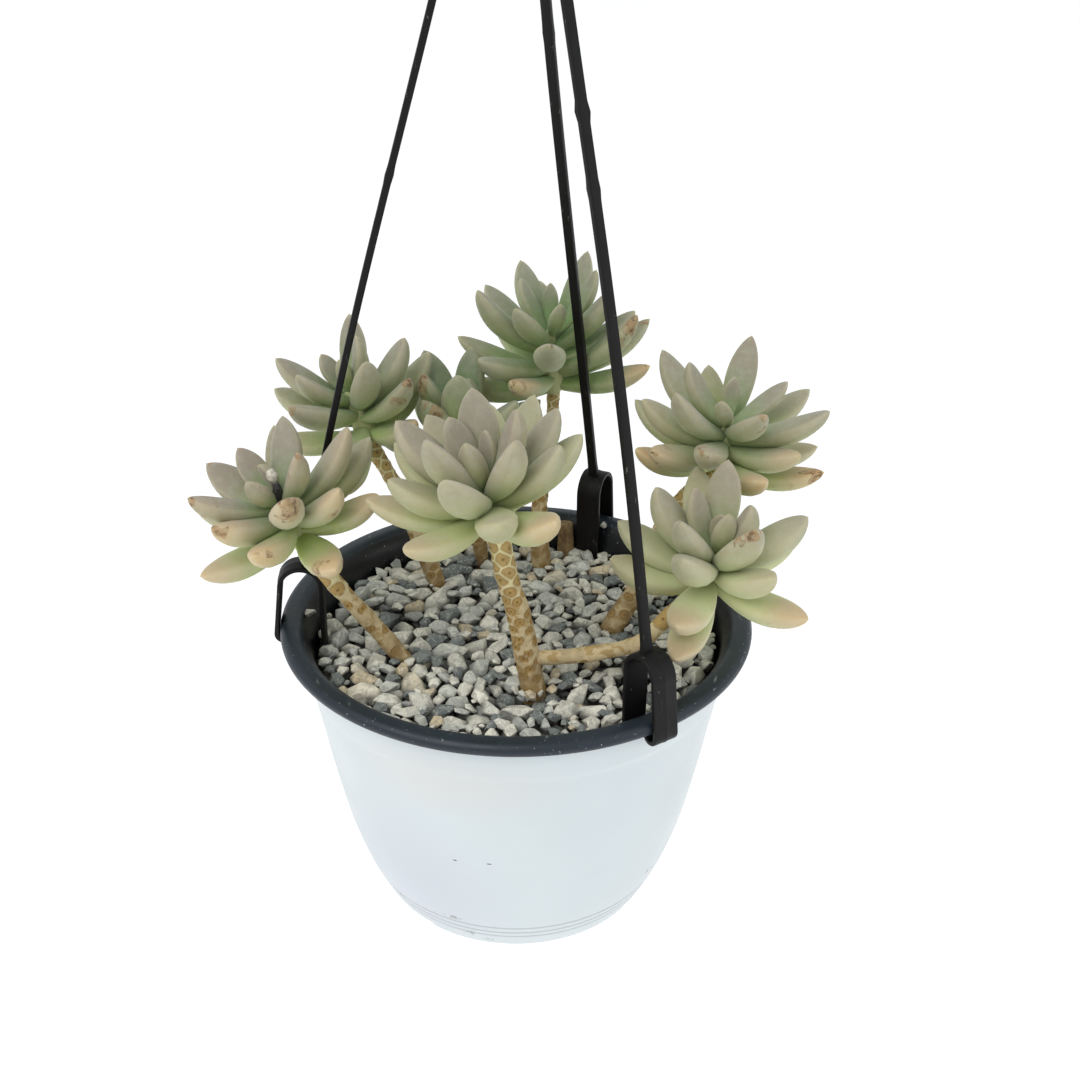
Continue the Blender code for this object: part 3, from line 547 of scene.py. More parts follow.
class PotSettings(bpy.types.PropertyGroup):
    sides: IntProperty(name="Sides", description="Facets round the pot", default=168, min=24)
    shell_colour: colour_property("Outer pot", "Colour of the outer pot", 208, 216, 218)
    # Painted light on the outer pot: a cool painted shade low on the left and a warm painted light under
    # the rim.
    painted_cool_shade_colour: colour_property("Cool side", "Bluish cast low on the left", 199, 205, 215)
    painted_warm_light_colour: colour_property("Warm band", "Warm cast under the rim", 216, 213, 209)
    liner_colour: colour_property("Liner", "Colour of the liner's rim", 25, 38, 48)
    # The colour inside the liner is painted shade on the liner's own plastic.
    painted_shade_inner_colour: colour_property("Liner inside", "Colour inside the liner", 15, 20, 24)
    mottle_colour: colour_property("Mottling", "Faint cloudy cast of the outer pot", 204, 212, 214)
    scuff_colour: colour_property("Scuffs", "Colour of the rubbed marks", 120, 116, 108)
    scratch_colour: colour_property("Scratches", "Fine scratches on the liner", 170, 178, 182)
    speck_colour: colour_property("Specks", "White specks on the liner", 205, 205, 198)


class SoilSettings(bpy.types.PropertyGroup):
    damp: colour_property("Damp soil", "Colour of the damp soil", 42, 30, 22)
    dry: colour_property("Dry soil", "Colour of the drier soil", 88, 66, 48)
    crumbs: colour_property("Crumbs", "Colour of the pale crumbs", 190, 184, 170)


class GravelSettings(bpy.types.PropertyGroup):
    mean_radius: length_property("Stone radius", "Mean radius of a stone", 3.15)
    smallest: length_property("Smallest", "Radius of the smallest stone", 1.4)
    largest: length_property("Largest", "Radius of the largest stone", 5.6)
    coverage: FloatProperty(
        name="Coverage", description="Share of the surface that one layer covers", default=1.02,
        min=0.2, max=1.5, subtype="FACTOR",
    )
    seed: IntProperty(name="Seed", description="Seed of every draw for the stones", default=4)
    pale: colour_property("Pale stone", "Colour of the pale stones", 254, 251, 236)
    grey: colour_property("Grey stone", "Colour of the grey stones", 230, 231, 222)
    dark: colour_property("Dark stone", "Colour of the dark stones", 132, 139, 139)
    tan: colour_property("Tan stone", "Colour of the tan stones", 236, 217, 182)
    grit_dark: colour_property("Dark grit", "Dark grains under the stones", 28, 27, 25)
    grit_pale: colour_property("Pale grit", "Pale grains under the stones", 70, 68, 62)


class PlantSettings(bpy.types.PropertyGroup):
    leaf_sides: IntProperty(name="Leaf sides", description="Points round a leaf", default=16, min=6)
    leaf_steps: IntProperty(name="Leaf steps", description="Rings along a leaf", default=18, min=5)
    young_base: colour_property("Young base", "Foot of a young leaf", 134, 158, 103)
    young_tip: colour_property("Young tip", "Tip of a young leaf", 151, 139, 126)
    old_base: colour_property("Old base", "Foot of an old leaf", 190, 204, 122)
    old_tip: colour_property("Old tip", "Tip of an old leaf", 162, 160, 124)
    ripe_tip: colour_property("Ripe tip", "Tip of an old leaf in full light", 200, 174, 134)
    green_base: colour_property("Green base", "Foot of a leaf that stays green", 112, 146, 86)
    green_tip: colour_property("Green tip", "Tip of a leaf that stays green", 143, 145, 122)
    sunlit: colour_property("Sunlit leaf", "Cast of leaves in full light", 214, 217, 168)
    shaded: colour_property("Shaded leaf", "Cast of leaves behind others", 88, 104, 74)
    grey_cast: colour_property("Grey cast", "Cast that some leaves have more than others", 158, 160, 142)
    bloom: colour_property("Bloom", "Pale waxy bloom on every leaf", 214, 218, 206)
    dried: colour_property("Dried skin", "Tan skin inside a dried mark", 160, 126, 84)
    margin: colour_property("Margin", "Pale edge of a leaf", 198, 192, 158)
    blemish: colour_property("Blemish", "Dried marks on a leaf", 92, 66, 38)
    skin: colour_property("Stem skin", "Smooth skin of a stem", 214, 194, 152)
    ridge: colour_property("Ridges", "Net of skin between crowded scars", 238, 228, 178)
    scar: colour_property("Leaf scar", "Scars where leaves have dropped", 188, 154, 90)
    outline: colour_property("Scar outline", "Dark edge of a leaf scar", 118, 84, 44)
    bark: colour_property("Old bark", "Foot of a stem and the stump", 152, 126, 86)
    stalk_dark: colour_property("Dark stalk", "Stalk of the withered bud", 34, 34, 38)
    stalk_pale: colour_property("Pale stalk", "Dry grains on the bud's stalk", 78, 74, 70)
    bud_dark: colour_property("Bud's hollows", "Hollows of the withered bud", 168, 162, 146)
    bud_pale: colour_property("Bud", "Colour of the withered bud", 216, 212, 196)


class HangerSettings(bpy.types.PropertyGroup):
    edge: length_property("Edge", "Rounding of the strip's edges", 0.5)
    colour: colour_property("Plastic", "Colour of the arms and the hook", 18, 17, 17)
    worn: colour_property("Worn specks", "Pale rubbed specks on the plastic", 140, 134, 122)


class StageSettings(bpy.types.PropertyGroup):
    floor_drop: FloatProperty(
        name="Floor drop", description="Floor below the hook's bearing point", default=1.5,
        min=0.5, subtype="DISTANCE", unit="LENGTH",
    )
    floor_size: FloatProperty(
        name="Floor size", description="Width of the floor", default=60.0, min=2.0,
        subtype="DISTANCE", unit="LENGTH",
    )
    floor_cool: colour_property("Cool floor", "Faint cool clouds on the floor", 247, 248, 249)
    floor_plain: colour_property("Floor", "Colour of the floor", 250, 250, 250)
    sky: FloatProperty(
        name="Sky", description="Strength of the even light from all sides", default=0.72, min=0.0
    )
    key: FloatProperty(name="Key", description="Power of the key light", default=26.0, min=0.0)
    fill: FloatProperty(name="Fill", description="Power of the fill light", default=7.0, min=0.0)


class HangingPotSettings(bpy.types.PropertyGroup):
    pot: PointerProperty(type=PotSettings, name="Pot", description="Outer pot and liner")
    soil: PointerProperty(type=SoilSettings, name="Soil", description="Potting soil")
    gravel: PointerProperty(type=GravelSettings, name="Gravel", description="Crushed stone")
    plant: PointerProperty(type=PlantSettings, name="Plant", description="Leaves and stems")
    hanger: PointerProperty(type=HangerSettings, name="Hanger", description="Arms and hook")
    stage: PointerProperty(type=StageSettings, name="Stage", description="Floor and light")


class Graph:
    """A node tree, with short ways to add its nodes and join them."""

    def __init__(self, tree):
        self.nodes = tree.nodes
        self.links = tree.links

    def put(self, socket, value):
        """Join a socket to another one, or set it to a number, a vector or a colour."""
        if isinstance(value, bpy.types.NodeSocket):
            self.links.new(value, socket)
        elif socket.type == "RGBA":
            socket.default_value = (*value, 1.0)
        else:
            socket.default_value = value

    def add(self, kind, inputs=None, **choices):
        """Add a node with its choices and its inputs, which are named or counted."""
        node = self.nodes.new(kind)
        for name, value in choices.items():
            setattr(node, name, value)
        for socket, value in (inputs or {}).items():
            self.put(node.inputs[socket], value)
        return node

    def math(self, operation, first, second=0.0):
        """A sum of one or two values."""
        node = self.add("ShaderNodeMath", {0: first, 1: second}, operation=operation)
        return node.outputs["Value"]

    def times(self, first, second):
        return self.math("MULTIPLY", first, second)


class Shader(Graph):
    """A material, with short ways to lay out its pattern."""

    def __init__(self, name):
        self.material = bpy.data.materials.new(name)
        self.material.use_nodes = True
        super().__init__(self.material.node_tree)
        self.surface = self.nodes["Principled BSDF"]

    def set(self, **inputs):
        """Set the surface's inputs, written with underscores for spaces."""
        for name, value in inputs.items():
            self.put(self.surface.inputs[name.replace("_", " ")], value)

    def place(self):
        """Where a point lies on the piece."""
        return self.add("ShaderNodeTexCoord").outputs["Object"]

    def scaled(self, place, scale):
        """A place with its axes scaled, which draws a pattern out along the smaller ones."""
        return self.add("ShaderNodeMapping", {"Vector": place, "Scale": scale}).outputs["Vector"]

    def attribute(self, name):
        """What the mesh says under a name."""
        return self.add("ShaderNodeAttribute", attribute_name=name).outputs["Fac"]

    def height(self, place):
        return self.add("ShaderNodeSeparateXYZ", {0: place}).outputs["Z"]

    def noise(self, place, scale, detail=2.0, roughness=0.5, distortion=0.0):
        """A cloudy pattern from 0 to 1, mostly near a half."""
        return self.add("ShaderNodeTexNoise", {
            "Vector": place, "Scale": scale, "Detail": detail, "Roughness": roughness,
            "Distortion": distortion,
        }).outputs["Fac"]

    def ramp(self, value, low, high, to_low=0.0, to_high=1.0):
        """Map a value from one range to another, smoothly and clamped."""
        return self.add("ShaderNodeMapRange", {
            "Value": value, "From Min": low, "From Max": high, "To Min": to_low,
            "To Max": to_high,
        }, interpolation_type="SMOOTHSTEP").outputs["Result"]

    def plus(self, first, second):
        return self.math("ADD", first, second)

    def larger(self, first, second):
        return self.math("MAXIMUM", first, second)

    def apart(self, first, second):
        """How far two values are from each other."""
        return self.math("ABSOLUTE", self.math("SUBTRACT", first, second))

    def mix(self, share, first, second):
        """The first colour, with a share of the second."""
        inputs = {"Factor": share, 6: first, 7: second}
        return self.add("ShaderNodeMix", inputs, data_type="RGBA").outputs[2]

    def steps(self, value, stops):
        """Colours that follow one another along a value, by a colour ramp."""
        node = self.add("ShaderNodeValToRGB", {"Fac": value})
        ramp = node.color_ramp
        while len(ramp.elements) < len(stops):
            ramp.elements.new(0.5)
        for element, (spot, colour) in zip(ramp.elements, stops):
            element.position = spot
            element.color = (*colour, 1.0)
        return node.outputs["Color"]

    def near(self, place, part):
        """1 in the middle of a part of the piece and 0 outside it."""
        middle, half_sizes = part
        sizes = tuple(size * MM for size in half_sizes)
        kind = "ShaderNodeVectorMath"
        shift = self.add(kind, {0: place, 1: tuple(placed(middle))}, operation="SUBTRACT")
        shrink = self.add(kind, {0: shift.outputs["Vector"], 1: sizes}, operation="DIVIDE")
        far = self.add(kind, {0: shrink.outputs["Vector"]}, operation="LENGTH")
        return self.ramp(far.outputs["Value"], 0.0, 1.0, 1.0, 0.0)

    def bump(self, height, strength, distance):
        """Raise the surface by a pattern, a distance in metres at most."""
        inputs = {"Strength": strength, "Distance": distance, "Height": height}
        self.set(Normal=self.add("ShaderNodeBump", inputs).outputs["Normal"])


def darker(colour, share):
    """A colour with a share of its light."""
    return tuple(channel * share for channel in colour)


def pot_plastic(pot):
    """White moulded plastic with faint mottling, rubbed marks near the foot, fine specks of dust and two
    nicks, with painted shade in its grooves, a painted cool shade low on the left and a painted warm
    light under the rim.
    """
    shader = Shader("White pot plastic")
    place = shader.place()
    body = pot.shell_colour
    mottle = shader.ramp(shader.noise(place, 30.0, 4.0, 0.55), 0.3, 0.7)
    # Painted light: a bluish painted shade low on the left and a warm painted light under the rim.
    for part, cast in ((PAINTED_COOL_SHADE_PART, pot.painted_cool_shade_colour), (PAINTED_WARM_LIGHT_PART, pot.painted_warm_light_colour)):
        body = shader.mix(shader.near(place, part), body, cast)
    base = shader.mix(shader.times(mottle, 0.5), body, pot.mottle_colour)
    rubbed = shader.noise(shader.scaled(place, (1.0, 1.0, 0.35)), 260.0, 3.0, 0.6)
    marks = 0.0
    for part in SCUFFS:
        marks = shader.larger(marks, shader.near(place, part))
    base = shader.mix(
        shader.times(marks, shader.ramp(rubbed, 0.46, 0.6)), base, pot.scuff_colour
    )
    specks = shader.ramp(shader.noise(place, 900.0, 2.0, 0.7), 0.72, 0.78)
    base = shader.mix(shader.times(specks, 0.25), base, pot.scuff_colour)
    height = shader.height(place)
    # Painted shade: a darker line along each groove.
    for groove in SHELL_GROOVES:
        away = shader.apart(height, (groove - HOOK_ABOVE_RIM) * MM)
        groove_shade = shader.ramp(away, 0.1 * MM, 0.75 * MM, 0.3, 0.0)
        base = shader.mix(groove_shade, base, pot.scuff_colour)
    for part in NICKS:
        nick = shader.ramp(shader.near(place, part), 0.2, 0.6)
        base = shader.mix(nick, base, darker(pot.scuff_colour, 0.15))
    shader.set(
        Base_Color=base, Roughness=shader.ramp(mottle, 0.0, 1.0, 0.34, 0.42), Specular_IOR_Level=0.4,
        Subsurface_Weight=0.05, Subsurface_Radius=(0.004, 0.004, 0.004), Subsurface_Scale=1.0,
    )
    shader.bump(shader.noise(place, 1500.0), 0.06, 0.0002)
    return shader.material


def liner_plastic(pot, name, body, rough):
    """Dark plastic with fine white specks, short scratches and dust."""
    shader = Shader(name)
    place = shader.place()
    cloud = shader.ramp(shader.noise(place, 45.0, 4.0, 0.6), 0.3, 0.72)
    base = shader.mix(cloud, darker(body, 0.82), body)
    scratch = shader.noise(shader.scaled(place, (1.0, 0.25, 2.2)), 520.0, 3.0, 0.6, 0.4)
    base = shader.mix(shader.ramp(scratch, 0.66, 0.74, 0.0, 0.35), base, pot.scratch_colour)
    specks = shader.ramp(shader.noise(place, 1100.0, 1.0, 0.5), 0.755, 0.78)
    base = shader.mix(shader.times(specks, 0.7), base, pot.speck_colour)
    shader.set(
        Base_Color=base, Roughness=shader.ramp(cloud, 0.0, 1.0, rough - 0.06, rough + 0.08),
        Specular_IOR_Level=0.45,
    )
    shader.bump(shader.noise(place, 1300.0, 3.0, 0.6), 0.12, 0.0002)
    return shader.material


def hanger_plastic(hanger):
    """Near-black moulded plastic with a fine grain and pale rubbed specks."""
    shader = Shader("Black hanger plastic")
    place = shader.place()
    body = hanger.colour
    cloud = shader.ramp(shader.noise(place, 70.0, 4.0, 0.6), 0.32, 0.7)
    base = shader.mix(cloud, darker(body, 0.7), body)
    worn = shader.noise(shader.scaled(place, (1.0, 1.0, 0.3)), 700.0, 3.0, 0.6)
    base = shader.mix(shader.ramp(worn, 0.67, 0.74, 0.0, 0.35), base, hanger.worn)
    shader.set(
        Base_Color=base, Roughness=shader.ramp(cloud, 0.0, 1.0, 0.44, 0.58),
        Specular_IOR_Level=0.22,
    )
    shader.bump(shader.noise(place, 900.0, 4.0, 0.65), 0.25, 0.0003)
    return shader.material


def stone_finish(gravel):
    """Crushed stone: each has its own tone, with patches, creases and flecks, painted shade where it
    lies deep and on steep faces, and a faint painted highlight on worn edges.
    """
    shader = Shader("Crushed stone")
    place = shader.place()
    pale, grey, dark, tan = gravel.pale, gravel.grey, gravel.dark, gravel.tan
    body = shader.steps(shader.attribute("tone"), (
        (0.0, darker(dark, 0.8)), (0.17, dark), (0.2, darker(grey, 0.8)), (0.42, grey),
        (0.46, darker(pale, 0.85)), (0.92, pale), (0.95, tan), (1.0, darker(tan, 0.85)),
    ))
    patch = shader.ramp(shader.noise(place, 260.0, 5.0, 0.65, 1.0), 0.5, 0.56)
    body = shader.mix(shader.times(patch, 0.32), body, darker(dark, 0.6))
    fold = shader.noise(place, 200.0, 3.0, 0.55, 1.0)
    crease = shader.ramp(shader.apart(fold, 0.5), 0.0, 0.01, 0.4, 0.0)
    body = shader.mix(crease, body, darker(dark, 0.4))
    grain = shader.noise(place, 1100.0, 4.0, 0.7)
    body = shader.mix(shader.ramp(grain, 0.36, 0.5, 0.25, 0.0), body, darker(dark, 0.7))
    flecks = shader.ramp(shader.noise(place, 640.0, 4.0, 0.7, 0.6), 0.53, 0.6, 0.0, 0.3)
    body = shader.mix(flecks, body, pale)
    facet = shader.ramp(shader.attribute("facet"), 0.4, 1.0, 0.0, 0.24)
    body = shader.mix(facet, body, darker(dark, 0.55))
    # Painted highlight: the worn edge faces are a little paler.
    body = shader.mix(shader.times(shader.attribute("edge"), 0.05), body, pale)
    # Painted shade: stones darken where they lie deep and on faces that turn away from above.
    shade = shader.times(shader.attribute("depth"), 0.9)
    steep = shader.ramp(shader.attribute("upward"), -0.1, 0.6, 0.42, 0.0)
    body = shader.mix(shader.larger(shade, steep), body, darker(dark, 0.16))
    height = shader.plus(grain, shader.times(fold, 1.5))
    shader.set(Base_Color=body, Roughness=0.8, Specular_IOR_Level=0.35)
    shader.bump(height, 0.7, 0.0009)
    return shader.material


def bed_finish(gravel):
    """The grit under the stones, painted dark as the shade between them."""
    shader = Shader("Dark grit")
    place = shader.place()
    grain = shader.noise(place, 800.0, 4.0, 0.7)
    grit = shader.mix(shader.ramp(grain, 0.35, 0.7), gravel.grit_dark, gravel.grit_pale)
    shader.set(Base_Color=grit, Roughness=0.95)
    shader.bump(grain, 0.8, 0.001)
    return shader.material


def soil_finish(soil):
    """Dark, damp potting soil with pale crumbs."""
    shader = Shader("Potting soil")
    place = shader.place()
    crumb = shader.noise(place, 260.0, 6.0, 0.7)
    body = shader.mix(shader.ramp(crumb, 0.35, 0.65), soil.damp, soil.dry)
    flecks = shader.ramp(shader.noise(place, 700.0, 2.0, 0.5), 0.68, 0.74)
    shader.set(Base_Color=shader.mix(flecks, body, soil.crumbs), Roughness=0.95)
    shader.bump(crumb, 0.9, 0.002)
    return shader.material


def leaf_colours(shader, plant, share, cloud):
    """A leaf's colours, by its age and tone and by how green and how ripe it is, with painted sunlight
    and painted shade by how lit its rosette is.
    """
    run = shader.plus(share, shader.times(cloud, 0.3))
    run = shader.math("SUBTRACT", run, 0.15)
    age, light = shader.attribute("age"), shader.attribute("light")
    young = shader.mix(shader.ramp(run, 0.1, 0.7), plant.young_base, plant.young_tip)
    old = shader.mix(shader.ramp(run, 0.3, 0.95), plant.old_base, plant.old_tip)
    leaf = shader.mix(shader.ramp(age, 0.3, 0.9), young, old)
    kept = shader.mix(shader.ramp(run, 0.3, 1.0), plant.green_base, plant.green_tip)
    leaf = shader.mix(shader.attribute("green"), leaf, kept)
    # Painted light and shade: paler where the rosette is sunlit, darker green where it is shaded.
    bright = shader.times(light, shader.ramp(age, 0.15, 0.8, 0.2, 0.85))
    bright = shader.times(bright, shader.ramp(share, 0.6, 0.95, 1.0, 0.5))
    leaf = shader.mix(shader.larger(bright, 0.0), leaf, plant.sunlit)
    leaf = shader.mix(shader.larger(shader.times(light, -0.7), 0.0), leaf, plant.shaded)
    ripe = shader.times(shader.attribute("ripe"), shader.ramp(run, 0.5, 0.92))
    leaf = shader.mix(ripe, leaf, plant.ripe_tip)
    grey = shader.ramp(shader.attribute("tone"), 0.0, 1.0, 0.0, 0.28)
    return shader.mix(grey, leaf, plant.grey_cast)


def bloomed(shader, plant, place, share, leaf):
    """The leaf with a paler underside, pale margins that are partly a painted highlight, and a waxy
    bloom.
    """
    under = shader.ramp(shader.attribute("face"), -0.9, 0.1, 0.3, 0.0)
    under = shader.times(under, shader.ramp(share, 0.6, 1.0, 1.0, 0.3))
    leaf = shader.mix(under, leaf, plant.old_base)
    # Pale margins and tip: partly the leaf's own pale edge, partly a painted highlight.
    margin = shader.ramp(shader.math("ABSOLUTE", shader.attribute("flank")), 0.8, 1.0, 0.0, 0.3)
    margin = shader.larger(margin, shader.ramp(share, 0.93, 1.0, 0.0, 0.1))
    leaf = shader.mix(margin, leaf, plant.margin)
    bloom = shader.ramp(shader.noise(place, 320.0, 4.0, 0.6), 0.4, 0.7, 0.0, 0.1)
    return shader.mix(bloom, leaf, plant.bloom)


def with_dried_marks(shader, plant, place, share, cloud, leaf):
    """The leaf with tan patches that have brown cores and borders, fine cracks and specks."""
    marked = shader.attribute("marked")
    outer = shader.times(marked, shader.ramp(share, 0.66, 0.84))
    field = shader.noise(place, 120.0, 2.0, 0.5, 0.3)
    field = shader.plus(field, shader.ramp(share, 0.93, 0.97, 0.0, 0.12))
    dried = shader.times(shader.ramp(field, 0.57, 0.59), outer)
    tan = shader.ramp(shader.noise(place, 500.0, 3.0, 0.6), 0.35, 0.65, 0.3, 0.75)
    leaf = shader.mix(shader.times(dried, tan), leaf, plant.dried)
    broken = shader.ramp(shader.noise(place, 420.0, 3.0, 0.6, 0.4), 0.46, 0.6)
    core = shader.times(shader.ramp(field, 0.6, 0.66, 0.0, 0.75), broken)
    leaf = shader.mix(shader.times(core, outer), leaf, plant.blemish)
    border = shader.ramp(shader.apart(field, 0.575), 0.002, 0.02, 0.85, 0.0)
    border = shader.times(border, outer)
    crack = shader.apart(shader.noise(place, 240.0, 3.0, 0.5, 0.5), 0.5)
    crack = shader.ramp(crack, 0.0, 0.008, 0.6, 0.0)
    crack = shader.times(crack, shader.ramp(cloud, 0.5, 0.6))
    crack = shader.times(crack, shader.ramp(share, 0.5, 0.85))
    border = shader.larger(border, shader.times(crack, marked))
    border = shader.times(border, shader.larger(broken, 0.2))
    leaf = shader.mix(border, leaf, plant.blemish)
    specks = shader.ramp(shader.noise(place, 760.0, 2.0, 0.6), 0.70, 0.74, 0.0, 0.45)
    return shader.mix(specks, leaf, darker(plant.blemish, 2.2))


def leaf_flesh(plant):
    """Fleshy leaf: green at its foot, pink or peach towards its tip, bloomed and in places dried."""
    shader = Shader("Fleshy leaf")
    place, share = shader.place(), shader.attribute("share")
    cloud = shader.noise(place, 95.0, 3.0, 0.55)
    leaf = leaf_colours(shader, plant, share, cloud)
    leaf = bloomed(shader, plant, place, share, leaf)
    leaf = with_dried_marks(shader, plant, place, share, cloud, leaf)
    shader.set(
        Base_Color=leaf, Roughness=shader.ramp(cloud, 0.3, 0.7, 0.5, 0.64),
        Subsurface_Weight=0.4, Subsurface_Radius=(1.0, 0.8, 0.45), Subsurface_Scale=0.005,
        Specular_IOR_Level=0.35, Sheen_Weight=0.12, Sheen_Roughness=0.5,
    )
    shader.bump(shader.noise(place, 520.0, 4.0, 0.6), 0.10, 0.0004)
    return shader.material


def stem_skin(plant):
    """Pale stem with leaf scars edged in brown and in painted shadow, a dark dot in each, and old bark
    low down.
    """
    shader = Shader("Scarred stem")
    place = shader.place()
    scar, trace = shader.attribute("scar"), shader.attribute("trace")
    outline, crowded = shader.attribute("outline"), shader.attribute("crowded")
    low, high = shader.attribute("low"), shader.attribute("high")
    stain = shader.noise(place, 140.0, 4.0, 0.6, 0.5)
    skin = shader.mix(shader.ramp(stain, 0.35, 0.7), plant.skin, darker(plant.skin, 0.72))
    streaks = shader.ramp(shader.noise(place, 210.0, 4.0, 0.62, 0.9), 0.52, 0.6, 0.0, 0.75)
    skin = shader.mix(streaks, skin, darker(plant.scar, 0.8))
    skin = shader.mix(crowded, skin, plant.ridge)
    mark = shader.mix(shader.ramp(stain, 0.3, 0.7), plant.scar, darker(plant.scar, 0.75))
    mark = shader.mix(shader.times(crowded, 0.12), mark, plant.ridge)
    body = shader.mix(scar, skin, mark)
    # The scar's dark outline is partly its brown edge and partly painted shadow in the dent round it.
    outline_and_shadow = shader.times(outline, shader.ramp(crowded, 0.0, 1.0, 0.75, 0.4))
    body = shader.mix(outline_and_shadow, body, plant.outline)
    body = shader.mix(shader.times(trace, 0.8), body, darker(plant.outline, 0.6))
    aged = shader.times(low, shader.ramp(stain, 0.3, 0.6, 0.15, 0.75))
    body = shader.mix(aged, body, plant.bark)
    body = shader.mix(shader.times(high, 0.55), body, plant.young_base)
    grain = shader.noise(shader.scaled(place, (1.0, 1.0, 0.5)), 620.0, 5.0, 0.68)
    body = shader.mix(shader.ramp(grain, 0.6, 0.72, 0.0, 0.5), body, plant.outline)
    shader.set(Base_Color=body, Roughness=0.7, Specular_IOR_Level=0.3)
    shader.bump(grain, 0.55, 0.0006)
    return shader.material


def bud_finish(plant):
    """A bud dried to a whitish ball, and its dark stalk."""
    shader = Shader("Withered bud")
    place = shader.place()
    grain = shader.noise(place, 700.0, 4.0, 0.65)
    stalk = shader.mix(shader.ramp(grain, 0.4, 0.65), plant.stalk_dark, plant.stalk_pale)
    ball = shader.mix(shader.ramp(grain, 0.35, 0.65), plant.bud_dark, plant.bud_pale)
    shader.set(Base_Color=shader.mix(shader.attribute("pale"), stalk, ball), Roughness=0.85)
    shader.bump(grain, 0.7, 0.0006)
    return shader.material


def bark_finish(plant):
    """Dry dark bark with pale flaking streaks."""
    shader = Shader("Dry bark")
    place = shader.place()
    flake = shader.noise(shader.scaled(place, (1.0, 1.0, 0.4)), 420.0, 5.0, 0.65)
    bark = shader.mix(shader.ramp(flake, 0.35, 0.68), darker(plant.bark, 0.45), plant.bark)
    shader.set(Base_Color=bark, Roughness=0.85)
    shader.bump(flake, 0.8, 0.0012)
    return shader.material


def floor_finish(stage):
    """Plain pale studio floor with a very faint unevenness."""
    shader = Shader("Studio floor")
    place = shader.place()
    cloud = shader.ramp(shader.noise(place, 0.6), 0.3, 0.7)
    shader.set(
        Base_Color=shader.mix(cloud, stage.floor_cool, stage.floor_plain), Roughness=0.8,
        Specular_IOR_Level=0.1, Emission_Color=(1.0, 1.0, 1.0), Emission_Strength=0.35,
    )
    return shader.material


def add_attribute(mesh, name, values):
    """Store one number, or one vector, for each point of a mesh."""
    values = np.asarray(values, np.float32)
    kind, field = ("FLOAT", "value") if values.ndim == 1 else ("FLOAT_VECTOR", "vector")
    mesh.attributes.new(name, kind, "POINT").data.foreach_set(field, values.ravel())


def mesh_object(name, points, faces, material=None):
    """An object from points in millimetres, measured from the middle of the rim plane."""
    mesh = bpy.data.meshes.new(name)
    mesh.from_pydata([tuple(point) for point in placed(points)], [], faces)
    mesh.update()
    if material is not None:
        mesh.materials.append(material)
    obj = bpy.data.objects.new(name, mesh)
    bpy.context.scene.collection.objects.link(obj)
    return obj


def face_outwards(obj):
    """Merge doubled points and turn every face of a closed mesh outwards."""
    bm = bmesh.new()
    bm.from_mesh(obj.data)
    bmesh.ops.remove_doubles(bm, verts=bm.verts, dist=0.001 * MM)
    bmesh.ops.recalc_face_normals(bm, faces=bm.faces)
    bm.to_mesh(obj.data)
    bm.free()


def smooth(obj, angle):
    """Shade a piece smoothly, but for its edges past an angle in degrees."""
    obj.data.shade_smooth()
    obj.data.set_sharp_from_angle(angle=math.radians(angle))


def tube_faces(ring_count, sides):
    """Quads between rings of points that follow one another."""
    faces = []
    for low in range(0, (ring_count - 1) * sides, sides):
        for i in range(sides):
            j = (i + 1) % sides
            faces.append((low + i, low + j, low + sides + j, low + sides + i))
    return faces


def closed_faces(ring_count, sides):
    """Faces of rings, with each end fanned to one of the two points that follow the rings."""
    faces = tube_faces(ring_count, sides)
    first = ring_count * sides
    top = first - sides
    for i in range(sides):
        j = (i + 1) % sides
        faces.append((first, j, i))
        faces.append((first + 1, top + i, top + j))
    return faces


def closed_tube(rings):
    """Points and faces of rings joined one after another, each end fanned to a middle point."""
    rings = np.asarray(rings, float)
    points = np.vstack([rings.reshape(-1, 3), rings[0].mean(axis=0), rings[-1].mean(axis=0)])
    return points, closed_faces(*rings.shape[:2])


def joined(parts):
    """Points and faces of several meshes as those of one."""
    points, faces = [], []
    for part, part_faces in parts:
        start = len(points)
        points += list(part)
        faces += [tuple(i + start for i in face) for face in part_faces]
    return points, faces


def unit(vectors):
    """Vectors brought to a length of 1."""
    return vectors / np.linalg.norm(vectors, axis=-1, keepdims=True)


def band(value, middle, width):
    """1 where a value meets a middle one, falling off to both sides."""
    return np.exp(-(((value - middle) / width) ** 2))


def smooth_step(low, high, value):
    """0 at one value and 1 at another, smooth between; the first may be the larger."""
    share = np.clip((value - low) / (high - low), 0.0, 1.0)
    return share * share * (3.0 - 2.0 * share)


def turned(name, profile, sides, material):
    """Turn a closed profile of radius and height; its points on the axis become one pole each."""
    points, rows = [], []
    for radius, height in profile:
        if radius == 0.0:
            rows.append([len(points)] * sides)
            points.append((0.0, 0.0, height))
            continue
        rows.append(list(range(len(points), len(points) + sides)))
        for i in range(sides):
            turn = math.tau * i / sides
            points.append((radius * math.cos(turn), radius * math.sin(turn), height))
    faces = []
    for lower, upper in zip(rows, rows[1:] + rows[:1]):
        for i in range(sides):
            j = (i + 1) % sides
            corners = []
            for corner in (lower[i], lower[j], upper[j], upper[i]):
                if corner not in corners:
                    corners.append(corner)
            if len(corners) > 2:
                faces.append(corners)
    obj = mesh_object(name, points, faces, material)
    face_outwards(obj)
    return obj


def radius_at(outline, height):
    """Radius of an outline, which runs downwards, at a height."""
    radii, heights = zip(*outline[::-1])
    return float(np.interp(height, heights, radii))


def radial(azimuth):
    """Outwards from the axis, at an angle from the front towards +X."""
    turn = math.radians(azimuth)
    return np.array((math.sin(turn), -math.cos(turn), 0.0))


def tangential(azimuth):
    """Sideways to the outward direction at an angle."""
    turn = math.radians(azimuth)
    return np.array((math.cos(turn), math.sin(turn), 0.0))


